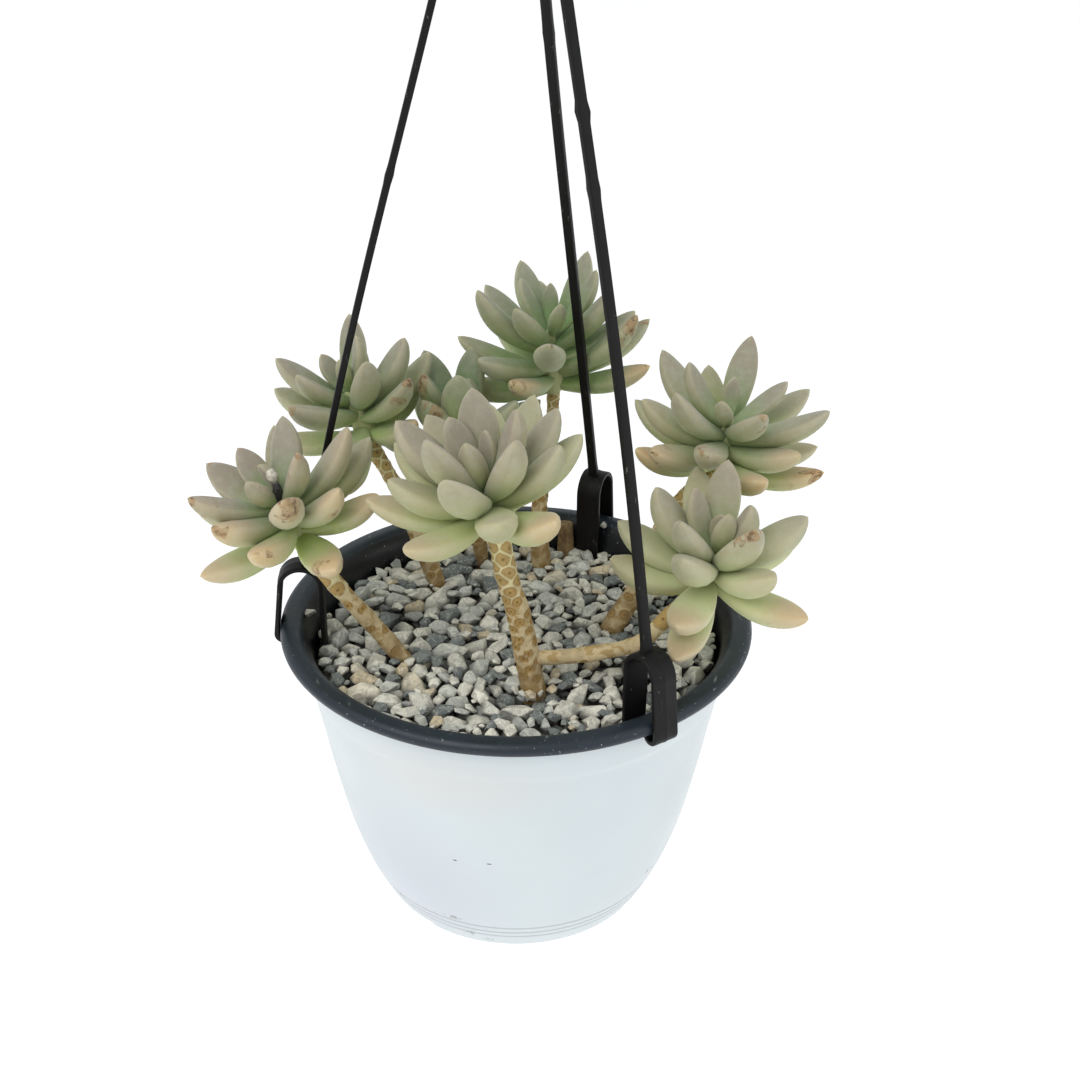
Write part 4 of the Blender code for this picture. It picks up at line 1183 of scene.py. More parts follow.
def rounded(points, steps):
    """A smooth curve through a list of points, with a number of steps in each stretch."""
    points = np.array(points, float)
    spots = np.linspace(0.0, len(points) - 1.0, (len(points) - 1) * steps + 1)
    return np.array([catmull(points, spot) for spot in spots])


def catmull(points, spot):
    """The smooth curve through the points, at a place counted in points."""
    last = len(points) - 1
    i = min(int(spot), last - 1)
    t = spot - i
    p0, p1, p2, p3 = (points[min(max(k, 0), last)] for k in (i - 1, i, i + 1, i + 2))
    return 0.5 * (
        2 * p1 + (p2 - p0) * t + (2 * p0 - 5 * p1 + 4 * p2 - p3) * t**2
        + (3 * p1 - p0 - 3 * p2 + p3) * t**3
    )


def finish(piece, node):
    """Hang a finished piece on the root body and hide the solid that it stands for."""
    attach(piece, "root")
    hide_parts(node)


def cut(target, cutter):
    """Cut one mesh from another and apply it."""
    boolean = target.modifiers.new("Boolean", "BOOLEAN")
    boolean.operation = "DIFFERENCE"
    boolean.solver = "EXACT"
    boolean.object = cutter
    graph = bpy.context.evaluated_depsgraph_get()
    target.data = bpy.data.meshes.new_from_object(target.evaluated_get(graph))
    target.modifiers.clear()
    bpy.data.objects.remove(cutter, do_unlink=True)


def shell_outside():
    """The outer pot's outline, with its soft step, its grooves and a rounded top and foot."""
    step_top, step_foot = SHELL_STEP
    profile = []
    for radius, height in rounded([spot for spot in SHELL_OUTLINE if spot != STEP_CORNER], 12):
        below = min(max((step_top - height) / (step_top - step_foot), 0.0), 1.0)
        fade = min(max((step_foot - height) / STEP_FADE, 0.0), 1.0)
        profile.append((radius - STEP_DEPTH * below * (1.0 - fade), height))
    outline = [(SHELL_OUTLINE[0][0] - TOP_EDGE, TOP)]
    for height in np.linspace(TOP - TOP_EDGE, FOOT + FOOT_EDGE, SHELL_ROWS):
        radius = radius_at(profile, height)
        for groove in SHELL_GROOVES:
            radius -= GROOVE_DEPTH * band(height, groove, GROOVE_HALF_WIDTH)
        outline.append((radius, height))
    return outline + [(SHELL_OUTLINE[-1][0] - TOP_EDGE, FOOT)]


def wall(inset, low, high, rows):
    """A wall's outline, by an inset from the outer pot's, from one height to another."""
    return [(radius_at(SHELL_OUTLINE, z) - inset, z) for z in np.linspace(low, high, rows)]


def notch(azimuth, material):
    """The block that cuts one notch out of the foot ring."""
    out, side = radial(azimuth), tangential(azimuth)
    near, far = NOTCH_RADII
    corners = []
    for height in (FOOT - NOTCH_BELOW, FOOT + FOOT_RECESS):
        for radius, turn in ((near, -1), (far, -1), (far, 1), (near, 1)):
            corners.append(out * radius + side * turn * NOTCH_LENGTH / 2 + (0, 0, height))
    return mesh_object("notch", corners, [(3, 2, 1, 0), (4, 5, 6, 7)] + tube_faces(2, 4), material)


class HANGINGPOT_OT_shell(bpy.types.Operator):
    """Turn the white outer pot with its step, grooves and notched foot"""

    bl_idname = "hanging_pot.shell"
    bl_label = "Outer pot"

    def execute(self, context):
        pot = context.scene.hanging_pot.pot
        floor = [
            (FOOT_INNER_RADIUS, FOOT), (FOOT_INNER_RADIUS, FOOT + FOOT_RECESS),
            (0.0, FOOT + FOOT_RECESS), (0.0, SHELL_FLOOR),
        ]
        inside = wall(WALL, SHELL_FLOOR, TOP, INSIDE_ROWS)
        plastic = pot_plastic(pot)
        shell = turned(
            "pot_shell_finished", shell_outside() + floor + inside, pot.sides, plastic
        )
        for azimuth in NOTCH_AZIMUTHS:
            cut(shell, notch(azimuth, plastic))
        smooth(shell, angle=40)
        finish(shell, "pot_shell")
        return {"FINISHED"}


class HANGINGPOT_OT_liner(bpy.types.Operator):
    """Turn the dark liner with its rolled rim"""

    bl_idname = "hanging_pot.liner"
    bl_label = "Liner"

    def execute(self, context):
        pot = context.scene.hanging_pot.pot
        rim = [tuple(spot) for spot in rounded(RIM_OUTLINE, 5)]
        seat = [(SHELL_OUTLINE[0][0] - LINER_INSET, RIM_SEAT)]
        outside = wall(LINER_INSET, LINER_OUTSIDE_TOP, LINER_FLOOR, LINER_ROWS)
        floor = [(0.0, LINER_FLOOR), (0.0, LINER_FLOOR + FLOOR)]
        inside = wall(LINER_INSET + WALL, LINER_FLOOR + FLOOR, LINER_INSIDE_TOP, LINER_ROWS)
        liner = turned(
            "pot_liner_finished", rim + seat + outside + floor + inside + list(LIP_OUTLINE),
            pot.sides, liner_plastic(pot, "Dark rim plastic", pot.liner_colour, 0.42),
        )
        # The inside is the liner's own plastic made darker, as painted shade.
        liner.data.materials.append(
            liner_plastic(pot, "Dark inner plastic", pot.painted_shade_inner_colour, 0.36)
        )
        for polygon in liner.data.polygons:
            polygon.material_index = int(polygon.center.xy.length / MM < RIM_INNER_RADIUS)
        smooth(liner, angle=50)
        finish(liner, "pot_liner")
        return {"FINISHED"}


class HANGINGPOT_OT_soil(bpy.types.Operator):
    """Give the potting soil its finish"""

    bl_idname = "hanging_pot.soil"
    bl_label = "Potting soil"

    def execute(self, context):
        soil = frame["nodes"]["potting_soil"]
        material = soil_finish(context.scene.hanging_pot.soil)
        for slot in soil.material_slots:
            slot.material = material
        return {"FINISHED"}


def stone_shape(index, draw, bevelled):
    """One angular crushed stone; those for the upper layers have worn edges, marked for a faint painted
    highlight.
    """
    bm = bmesh.new()
    edge = bm.faces.layers.float.new("edge")
    facet = bm.faces.layers.float.new("facet")
    sizes = [draw.uniform(*limits) for limits in STONE_SIZES]
    for k in range(STONE_CORNERS):
        height = 1.0 - 2.0 * (k + 0.5) / STONE_CORNERS
        across = math.sqrt(1.0 - height * height)
        turn = k * GOLDEN + draw.uniform(-CORNER_TURN, CORNER_TURN)
        far = draw.uniform(*CORNER_REACH)
        spot = (across * math.cos(turn), across * math.sin(turn), height)
        bm.verts.new([far * size * value for size, value in zip(sizes, spot)])
    hull = bmesh.ops.convex_hull(bm, input=bm.verts)
    bmesh.ops.delete(bm, geom=hull["geom_interior"], context="VERTS")
    bmesh.ops.dissolve_limit(bm, angle_limit=FLAT_ANGLE, verts=bm.verts, edges=bm.edges)
    for face in bm.faces:
        face[facet] = draw.random()
    if bevelled:
        worn = bmesh.ops.bevel(
            bm, geom=bm.edges[:], offset=WORN_EDGE, segments=1, affect="EDGES", clamp_overlap=True
        )
        for face in worn["faces"]:
            face[edge] = 1.0
    bmesh.ops.recalc_face_normals(bm, faces=bm.faces)
    mesh = bpy.data.meshes.new(f"stone_{index:02d}")
    bm.to_mesh(mesh)
    bm.free()
    return bpy.data.objects.new(mesh.name, mesh)


def stem_circles():
    """Where stems and clip legs pass through the gravel: middle and radius of each."""
    circles = []
    for parts in STEMS.values():
        points = np.array(parts[0][1])
        for spot in STEM_SPOTS_IN_GRAVEL:
            x, y, _, radius = catmull(points, spot)
            circles.append((x, y, radius * STEM_PRESS))
    x, y, _, radius = STUMP[1]
    circles.append((x, y, radius))
    for azimuth in ARM_AZIMUTHS.values():
        for offset in CLIP_BALL_OFFSETS:
            x, y, _ = radial(azimuth) * INNER_LEG + tangential(azimuth) * offset
            circles.append((x, y, CLIP_THICKNESS / 2))
    return circles


def settle(radii, reach, draw, avoid, rounds):
    """Spread stones over the pot, pushed apart until they hardly overlap."""
    count = len(radii)
    turn = draw.uniform(0.0, math.tau, count)
    far = np.sqrt(draw.uniform(0.0, 1.0, count)) * reach
    spots = np.stack([far * np.cos(turn), far * np.sin(turn)], axis=1)
    for _ in range(rounds):
        apart = spots[:, None] - spots[None]
        gap = np.linalg.norm(apart, axis=2) + np.eye(count) * FAR_APART
        over = np.clip(radii[:, None] + radii[None] - gap, 0.0, None)
        spots += (apart / gap[..., None] * over[..., None] * PUSH).sum(axis=1)
        for x, y, radius in avoid:
            away = spots - (x, y)
            span = np.linalg.norm(away, axis=1)
            short = np.clip(radius + radii * TUCKED_SHARE - span, 0.0, None)
            spots += away / span[:, None] * short[:, None]
        span = np.linalg.norm(spots, axis=1)
        spots *= np.minimum(1.0, (reach - radii) / span)[:, None]
    return spots


def scattered_stones(gravel, draw):
    """Rows with the place, radius and shape of every stone, layer by layer, the loose ones last."""
    low, mean, high = (value / MM for value in (gravel.smallest, gravel.mean_radius, gravel.largest))
    avoid = stem_circles()
    stones = []
    for level, share, size, rounds, shapes in STONE_LAYERS:
        reach = radius_at(SHELL_OUTLINE, GRAVEL_TOP - MIDDLE_DEPTH + level) - FILL_INSET - WALL_ROOM
        area = math.pi * reach**2 * gravel.coverage * share
        radii = []
        while sum(r * r for r in radii) * math.pi < area * size**2:
            radius = draw.lognormal(math.log(mean), SIZE_SPREAD)
            radii.append(float(np.clip(radius, low, high)) * size)
        radii = np.array(radii)
        for (x, y), radius in zip(settle(radii, reach, draw, avoid, rounds), radii):
            height = GRAVEL_TOP + level - SUNK_SHARE * radius + draw.uniform(*LEVEL_DRAW)
            stones.append((x, y, height, radius, draw.integers(*shapes)))
    stones += [(*place, radius, 0) for place, radius in LOOSE_STONES]
    return np.array(stones)


def mark_depth(obj):
    """Mark how deep each point of the stones lies, and how far each face looks up, for the stones'
    painted shade.
    """
    mesh = obj.data
    places = np.empty(len(mesh.vertices) * 3, np.float32)
    mesh.vertices.foreach_get("co", places)
    height = places[2::3] / MM + HOOK_ABOVE_RIM
    add_attribute(mesh, "depth", smooth_step(*DEEP_STONES, height))
    normals = np.empty(len(mesh.polygons) * 3, np.float32)
    mesh.polygons.foreach_get("normal", normals)
    upward = mesh.attributes.new("upward", "FLOAT", "FACE")
    upward.data.foreach_set("value", np.ascontiguousarray(normals[2::3]))


class Tree(Graph):
    """A geometry node group with named inputs, for a mesh that it changes."""

    def __init__(self, name, **inputs):
        self.group = bpy.data.node_groups.new(name, "GeometryNodeTree")
        super().__init__(self.group)
        new_socket = self.group.interface.new_socket
        for label, kind in dict(Geometry="Geometry", **inputs).items():
            new_socket(name=label, in_out="INPUT", socket_type=f"NodeSocket{kind}")
        new_socket(name="Geometry", in_out="OUTPUT", socket_type="NodeSocketGeometry")
        self.inputs = self.add("NodeGroupInput").outputs

    def named(self, name, kind="FLOAT"):
        """What the mesh says under a name."""
        node = self.add("GeometryNodeInputNamedAttribute", {"Name": name}, data_type=kind)
        return node.outputs["Attribute"]

    def spread(self, points, instance, **choices):
        """Copies of a shape on points that say how each is turned and stretched, made real."""
        turn = self.add("FunctionNodeEulerToRotation", {0: self.named("turn", "FLOAT_VECTOR")})
        copies = self.add("GeometryNodeInstanceOnPoints", {
            "Points": points, "Instance": instance, "Rotation": turn.outputs[0],
            "Scale": self.named("stretch", "FLOAT_VECTOR"), **choices,
        })
        return self.run("RealizeInstances", copies.outputs[0])

    def run(self, kind, geometry, **inputs):
        """What a node makes of some geometry."""
        named = {name.replace("_", " "): value for name, value in inputs.items()}
        return self.add(f"GeometryNode{kind}", {"Geometry": geometry, **named}).outputs[0]

    def end(self, geometry):
        """Give back the geometry, and the finished group."""
        self.add("NodeGroupOutput", {"Geometry": geometry})
        return self.group


def stone_tree():
    """Geometry nodes that stand one of the stone shapes on each point."""
    tree = Tree("Scattered stones", Stones="Collection", Material="Material")
    shapes = tree.add("GeometryNodeCollectionInfo", {
        "Collection": tree.inputs["Stones"], "Separate Children": True, "Reset Children": True,
    })
    choices = {"Pick Instance": True, "Instance Index": tree.named("kind", "INT")}
    stones = tree.spread(tree.inputs["Geometry"], shapes.outputs[0], **choices)
    flat = tree.run("SetShadeSmooth", stones, Shade_Smooth=False)
    return tree.end(tree.run("SetMaterial", flat, Material=tree.inputs["Material"]))


def grown(obj, group, **values):
    """Run a node group on an object with its named inputs set, and keep the result as its mesh."""
    modifier = obj.modifiers.new("Nodes", "NODES")
    modifier.node_group = group
    for item in group.interface.items_tree:
        if item.item_type == "SOCKET" and item.in_out == "INPUT" and item.name in values:
            modifier[item.identifier] = values[item.name]
    obj.update_tag()
    graph = bpy.context.evaluated_depsgraph_get()
    old = obj.data
    obj.data = bpy.data.meshes.new_from_object(obj.evaluated_get(graph))
    obj.modifiers.clear()
    bpy.data.meshes.remove(old)
    bpy.data.node_groups.remove(group)
    obj.data.name = obj.name
    return obj


class HANGINGPOT_OT_gravel(bpy.types.Operator):
    """Scatter the crushed stone over the soil"""

    bl_idname = "hanging_pot.gravel"
    bl_label = "Gravel"

    def execute(self, context):
        gravel = context.scene.hanging_pot.gravel
        draw = np.random.default_rng(gravel.seed)
        stones = scattered_stones(gravel, draw)
        shapes = bpy.data.collections.new("stone_shapes")
        shape_draw = random.Random(gravel.seed)
        for index in range(STONE_SHAPES):
            shapes.objects.link(stone_shape(index, shape_draw, index < BEVELLED_SHAPES))
        count = len(stones)
        obj = mesh_object("gravel_finished", stones[:, :3], [])
        tilt = draw.uniform(-STONE_TILT, STONE_TILT, (count, 2))
        spin = draw.uniform(0.0, math.tau, (count, 1))
        add_attribute(obj.data, "turn", np.hstack([tilt, spin]))
        stretch = draw.uniform(*STONE_STRETCH, (count, 3)) * stones[:, 3:4] * MM
        add_attribute(obj.data, "stretch", stretch)
        tone = draw.uniform(0.0, 1.0, count)
        tone[-len(LOOSE_STONES):] = LOOSE_TONE
        add_attribute(obj.data, "tone", tone)
        kind = obj.data.attributes.new("kind", "INT", "POINT")
        kind.data.foreach_set("value", stones[:, 4].astype(np.int32))
        grown(obj, stone_tree(), Stones=shapes, Material=stone_finish(gravel))
        for shape in list(shapes.objects):
            bpy.data.objects.remove(shape, do_unlink=True)
        bpy.data.collections.remove(shapes)
        mark_depth(obj)
        finish(obj, "gravel")
        reach = radius_at(SHELL_OUTLINE, GRAVEL_BED) - FILL_INSET
        foot = GRAVEL_BED - GRIT_DEPTH
        profile = [(0.0, GRAVEL_BED), (reach, GRAVEL_BED), (reach - GRIT_TAPER, foot), (0.0, foot)]
        bed = turned("gravel_bed", profile, GRIT_SIDES, bed_finish(gravel))
        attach(bed, "root")
        return {"FINISHED"}


def leaf_spread(share, width_power, thickness_power):
    """Half width and thickness at a share of the leaf's length, each as a share of its most."""
    if share < LEAF_WIDEST:
        swell = math.sin(math.pi / 2 * share / LEAF_WIDEST)
        return (
            LEAF_BASE_WIDTH + (1 - LEAF_BASE_WIDTH) * swell,
            LEAF_BASE_THICKNESS + (1 - LEAF_BASE_THICKNESS) * swell,
        )
    fall = max(1.0 - ((share - LEAF_WIDEST) / (1.0 - LEAF_WIDEST)) ** 2, 0.0)
    return fall**width_power, fall**thickness_power


def leaf_shape(plant):
    """One straight leaf, 1 long along +X, 1 wide and 1 thick, with where each point lies on it."""
    sides, steps = plant.leaf_sides, plant.leaf_steps
    points, places = [], []
    for step in range(steps):
        share = math.sin(math.pi / 2 * step / steps) ** RING_POWER
        wide, thick = leaf_spread(share, POINT_WIDTH_POWER, POINT_THICKNESS_POWER)
        for i in range(sides):
            turn = math.tau * i / sides
            across, up = math.cos(turn), math.sin(turn)
            if up > 0:
                height = thick * FACE_SHARE * up**UPPER_FLATNESS
            else:
                height = -thick * (1 - FACE_SHARE) * (-up) ** KEEL
            side = math.copysign(abs(across) ** MARGIN_FULLNESS, across)
            points.append((share, wide / 2 * side, height))
            places.append((share, across, up))
    points += [(0.0, 0.0, 0.0), LEAF_POINT]
    places += [(0.0, 0.0, 0.0), (1.0, 0.0, 0.0)]
    mesh = bpy.data.meshes.new("leaf_shape")
    mesh.from_pydata(points, [], closed_faces(steps, sides))
    for name, values in zip(("share", "flank", "face"), zip(*places)):
        add_attribute(mesh, name, values)
    return bpy.data.objects.new("leaf_shape", mesh)


def stem_course(points, rosette):
    """A stem's own points, run on through the middle of its rosette."""
    head = ROSETTES[rosette]
    base, axis = np.array(head["base"]), head_axis(head)
    radii = (
        points[-1][3], head["breadth"] * CORE_WIDTH_SHARE, head["breadth"] * CORE_TOP_SHARE,
    )
    rises = (-CORE_FOOT, CORE_SHOULDER, head["crown"] + CORE_PAST_CROWN)
    return list(points) + [(*(base + axis * rise), radius) for rise, radius in zip(rises, radii)]


def head_axis(head):
    """The direction in which a rosette grows."""
    return unit(np.array((*head["lean"], 1.0)))


def spiral_leaves(head):
    """Leaves of one rosette, youngest first, along a spiral that seeded draws disturb a little."""
    axis = head_axis(head)
    draw = random.Random(head["seed"])
    leaves = []
    for k in range(head["count"]):
        turn, lift, stretch = (draw.uniform(-1.0, 1.0) for _ in range(3))
        age = k / (head["count"] - 1)
        full = math.sin(min(age / GROWN_AGE, 1.0) * math.pi / 2)
        share = YOUNGEST_SHARE + (1.0 - YOUNGEST_SHARE) * full
        rise = head["young"] + (head["old"] - head["young"]) * age ** head["settle"]
        leaves.append(dict(
            root=np.array(head["base"]) + axis * head["crown"] * (1.0 - age),
            axis=axis,
            age=age,
            azimuth=head["start"] + head["hand"] * head["step"] * k + AZIMUTH_DRAW * turn,
            rise=rise + RISE_DRAW * lift,
            length=head["reach"] * share * (1.0 + LENGTH_DRAW * stretch),
            width=head["breadth"] * share**WIDTH_GROWTH,
        ))
    return leaves


def leaf_frame(leaf):
    """Unit vectors along the leaf, across it, and out of its upper face."""
    axis = leaf["axis"]
    first = unit(np.cross((0.0, 1.0, 0.0), axis))
    second = np.cross(axis, first)
    turn, rise = math.radians(leaf["azimuth"]), math.radians(leaf["rise"])
    out = first * math.cos(turn) + second * math.sin(turn)
    along = out * math.cos(rise) + axis * math.sin(rise)
    upward = axis * math.cos(rise) - out * math.sin(rise)
    return along, np.cross(upward, along), upward


def solid_leaf_sizes(share, leaf):
    """The solid leaf's half width, and its thickness above and below the middle."""
    wide, thick = leaf_spread(share, TIP_WIDTH_POWER, TIP_THICKNESS_POWER)
    thickness = leaf["width"] * LEAF_THICKNESS_SHARE * thick
    return leaf["width"] / 2 * wide, thickness * UPPER_SHARE, thickness * (1 - UPPER_SHARE)


def leaf_middle(leaf, share):
    """The leaf's middle line, which sags between its root and its lifted tip."""
    along, _, upward = leaf_frame(leaf)
    length = leaf["length"]
    reach = LEAF_ROOT + (length - LEAF_ROOT) * share
    return leaf["root"] + along * reach + upward * length * LEAF_BEND * (share**2 - share)


def leaf_balls(leaf):
    """Balls that fill the leaf roughly, to keep it clear of what is near."""
    _, across, upward = leaf_frame(leaf)
    balls = []
    for share in LEAF_BALL_SHARES:
        half, above, below = solid_leaf_sizes(share, leaf)
        middle = leaf_middle(leaf, share) + upward * (above - below) / 2
        radius = (above + below) / 2
        for side in (-1, 0, 1):
            spot = middle + across * side * max(half - radius, 0.0)
            balls.append((*spot, radius))
    return np.array(balls)


def room(balls, others):
    """Least distance between two sets of balls."""
    apart = np.linalg.norm(balls[:, None, :3] - others[None, :, :3], axis=2)
    return float((apart - balls[:, None, 3] - others[None, :, 3]).min())


def bent_clear(leaf, obstacles):
    """The leaf, turned or lifted by the least that keeps it clear of its neighbours."""
    best, most = leaf, -math.inf
    for turn, lift in BENDS:
        moved = dict(leaf, azimuth=leaf["azimuth"] + turn, rise=leaf["rise"] + lift)
        free = room(leaf_balls(moved), obstacles)
        if free >= CLEARANCE:
            return moved
        if free > most:
            best, most = moved, free
    return best


def strap_points(name, count=7):
    """Middle line of one arm's strap, from its rim clip to the crown."""
    out, side = radial(ARM_AZIMUTHS[name]), tangential(ARM_AZIMUTHS[name])
    (foot_radius, foot), (head_radius, head) = STRAP_FOOT, STRAP_HEAD
    outward, sideways = ARM_BOW[name]
    points = []
    for share in np.linspace(0.0, 1.0, count):
        bow = math.sin(math.pi * share)
        radius = foot_radius + (head_radius - foot_radius) * share
        radius += outward * bow + ARM_SWAY * math.sin(math.tau * share)
        height = foot + (head - foot) * share
        points.append(out * radius + side * sideways * bow + (0.0, 0.0, height))
    return np.array(points)


def tube_balls(points, radius):
    """Balls along a line of points."""
    balls = []
    for start, end in zip(points, points[1:]):
        start, end = np.array(start, float), np.array(end, float)
        steps = max(int(np.linalg.norm(end[:3] - start[:3]) / BALL_SPACING), 1)
        for k in range(steps + 1):
            balls.append((*(start + (end - start) * k / steps)[:3], radius))
    return balls


def fixed_obstacles():
    """Balls over the straps, the clips and the rim, which every leaf keeps clear of."""
    balls = []
    for name, azimuth in ARM_AZIMUTHS.items():
        balls += tube_balls(strap_points(name), STRAP_BALL)
        out, side = radial(azimuth), tangential(azimuth)
        for offset in CLIP_BALL_OFFSETS:
            line = [out * r + side * offset + (0, 0, z) for r, z in clip_line()]
            balls += tube_balls(line, CLIP_BALL)
    radius, height = RIM_BALL_PLACE
    for azimuth in range(0, 360, 2):
        balls.append((*(radial(azimuth) * radius + (0, 0, height)), RIM_BALL))
    return balls


def stem_balls(stem):
    """Balls along a stem and through the cores of its rosettes."""
    balls = []
    for rosette, points in STEMS[stem]:
        course = stem_course(points, rosette)
        for start, end in zip(course, course[1:]):
            balls += tube_balls((start, end), max(start[3], end[3]))
    return balls


def placed_leaves():
    """Every rosette's leaves, each bent clear of the holder and of the other stems."""
    stem_of = {rosette: stem for stem, parts in STEMS.items() for rosette, _ in parts}
    settled = {stem: stem_balls(stem) for stem in STEMS}
    holder = fixed_obstacles()
    leaves = {}
    for rosette, head in ROSETTES.items():
        own = stem_of[rosette]
        others = [ball for stem, balls in settled.items() if stem != own for ball in balls]
        obstacles = np.array(holder + others)
        leaves[rosette] = [bent_clear(leaf, obstacles) for leaf in spiral_leaves(head)]
        for leaf in leaves[rosette]:
            settled[own] += [tuple(ball) for ball in leaf_balls(leaf)]
    return leaves


def scar_distances(run, phase, radii, angles, seed):
    """How far each point on a stem lies from its nearest scar and from the second nearest."""
    grid_run, grid_phase, grid_radius = (
        np.repeat(rows, len(angles)) for rows in (run, phase, radii)
    )
    grid_angle = np.tile(angles, len(run))
    nearest = np.full((2, len(grid_run)), np.inf)
    draw = np.random.default_rng(seed)
    last = int(phase[-1]) + 2
    shift = draw.uniform(-SCAR_SHIFT, SCAR_SHIFT, last + 1)
    slide = draw.uniform(-SCAR_SLIDE, SCAR_SLIDE, last + 1)
    lengthwise, round_it = SCAR_STRETCH
    for k in range(-SCAR_NEIGHBOURS, SCAR_NEIGHBOURS + 1):
        index = np.clip(np.round(grid_phase).astype(int) + k, 0, last)
        along = grid_run - (np.interp(index, phase, run) + slide[index])
        turn = (grid_angle - (index * GOLDEN + shift[index]) + math.pi) % math.tau - math.pi
        span = np.hypot(along * lengthwise, turn * grid_radius * round_it)
        closer = span < nearest[0]
        nearest[1] = np.where(closer, nearest[0], np.minimum(nearest[1], span))
        nearest[0] = np.where(closer, span, nearest[0])
    return nearest


def waviness(run, angle, seed):
    """How much a stem swells or sinks, along it and round it."""
    (pitch, swell), (twist, flatness) = WAVE_ALONG, WAVE_ROUND
    return np.sin(run * pitch + seed) * swell + np.sin(angle * 2 + run * twist) * flatness


def stem_surface(course, rings, sides, scar_area, seed):
    """Points, faces and marks of a stem whose dropped leaves have left a spiral of scars."""
    course = np.array(course, float)
    end = len(course) - 1.0
    spots = np.linspace(0.0, end, rings)
    path = np.array([catmull(course, spot) for spot in spots])
    centres, radii = path[:, :3], path[:, 3]
    ahead = unit(np.gradient(centres, axis=0))
    across = unit(np.cross(ahead, STEM_SIDE))
    up = np.cross(ahead, across)
    steps = np.linalg.norm(np.diff(centres, axis=0), axis=1)
    run = np.append(0.0, np.cumsum(steps))
    phase = np.append(0.0, np.cumsum(steps * math.tau * radii[1:] / scar_area))
    angles = np.arange(sides) * math.tau / sides
    nearest, second = scar_distances(run, phase, radii, angles, seed)

    def for_each_point(rows):
        return np.repeat(rows, sides, axis=0)

    turn, grid_run = np.tile(angles, rings), for_each_point(run)
    below = np.interp(end - 2.0, spots, run) - grid_run
    crowded = smooth_step(*CROWDED_BELOW, below)
    spacing = math.sqrt(scar_area * HEXAGON_SHARE)
    size = min(spacing * SCAR_SHARE, LARGEST_SCAR) + spacing * CROWDED_SHARE * crowded
    inside = np.minimum(size - nearest, (second - nearest) / 2 - RIDGE_HALF_WIDTH)
    scar = smooth_step(*SCAR_EDGE, inside)
    outline = band(inside, *OUTLINE_BAND)
    high = smooth_step(*(end - spot for spot in GREEN_NECK), for_each_point(spots))
    relief = LIP_RISE * band(inside, *LIP_BAND) - OUTLINE_DENT * outline - SCAR_DENT * scar
    relief = (relief + waviness(grid_run, turn, seed)) * (1.0 - high)
    radius = for_each_point(radii) + relief
    points = (
        for_each_point(centres) + for_each_point(across) * (np.cos(turn) * radius)[:, None]
        + for_each_point(up) * (np.sin(turn) * radius)[:, None]
    )
    whole, faces = closed_tube(points.reshape(rings, sides, 3))
    marks = {"scar": scar, "trace": smooth_step(*TRACE_RADII, nearest), "outline": outline}
    marks = {name: values * (1.0 - high) for name, values in marks.items()}
    low = smooth_step(*BARK_HEIGHTS, for_each_point(centres[:, 2]))
    marks.update(crowded=crowded, low=low, high=high)
    marks = {name: np.append(values, (values[0], values[-1])) for name, values in marks.items()}
    return whole, faces, marks


def leafy_tree():
    """Geometry nodes that stand a leaf on each point and join the leaves with their stem."""
    tree = Tree("Leafy stem", Roots="Object", Leaf="Object", Skin="Material", Flesh="Material")
    roots, leaf = (
        tree.add("GeometryNodeObjectInfo", {"Object": tree.inputs[name]}).outputs["Geometry"]
        for name in ("Roots", "Leaf")
    )
    leaves = tree.spread(roots, leaf)
    share = tree.named("share")
    arch = tree.times(tree.math("SUBTRACT", share, 1.0), share)
    lift = tree.add("ShaderNodeVectorMath", {
        0: tree.named("lift", "FLOAT_VECTOR"), "Scale": tree.times(arch, tree.named("curl")),
    }, operation="SCALE")
    bent = tree.run("SetPosition", leaves, Offset=lift.outputs[0])
    fleshy = tree.run("SetMaterial", bent, Material=tree.inputs["Flesh"])
    skinned = tree.run("SetMaterial", tree.inputs["Geometry"], Material=tree.inputs["Skin"])
    both = tree.add("GeometryNodeJoinGeometry")
    for part in (skinned, fleshy):
        tree.put(both.inputs[0], part)
    return tree.end(tree.run("SetShadeSmooth", both.outputs[0]))


def leaf_roots(rosette, leaves, seed):
    """Rows that say where each leaf of a rosette stands and how it differs."""
    draw = random.Random(f"{rosette} {seed}")
    head = ROSETTES[rosette]
    rows = []
    for leaf in leaves:
        along, across, upward = leaf_frame(leaf)
        length, width = leaf["length"], leaf["width"] * draw.uniform(*WIDTH_DRAW)
        thickness = width * LEAF_THICKNESS_SHARE * draw.uniform(*THICKNESS_DRAW)
        rows.append(dict(
            place=leaf["root"] + along * LEAF_ROOT,
            turn=tuple(Matrix((along, across, upward)).transposed().to_euler("XYZ")),
            stretch=((length - LEAF_ROOT) * MM, width * MM, thickness * MM),
            lift=tuple(upward * length * MM),
            curl=LEAF_BEND + draw.uniform(*CURL_DRAW),
            age=leaf["age"],
            ripe=ripeness(leaf, head["ripe"], -along[1]),
            tone=draw.random(),
            marked=float(len(rows) in head["marked"]),
            green=head["green"],
            light=head["light"],
        ))
    return rows


def ripeness(leaf, start, outward):
    """How far a leaf has turned peach: by its age, and only where it faces the light."""
    aged = smooth_step(start, start + RIPENING, leaf["age"])
    return float(aged * smooth_step(*LIT_SIDE, outward))


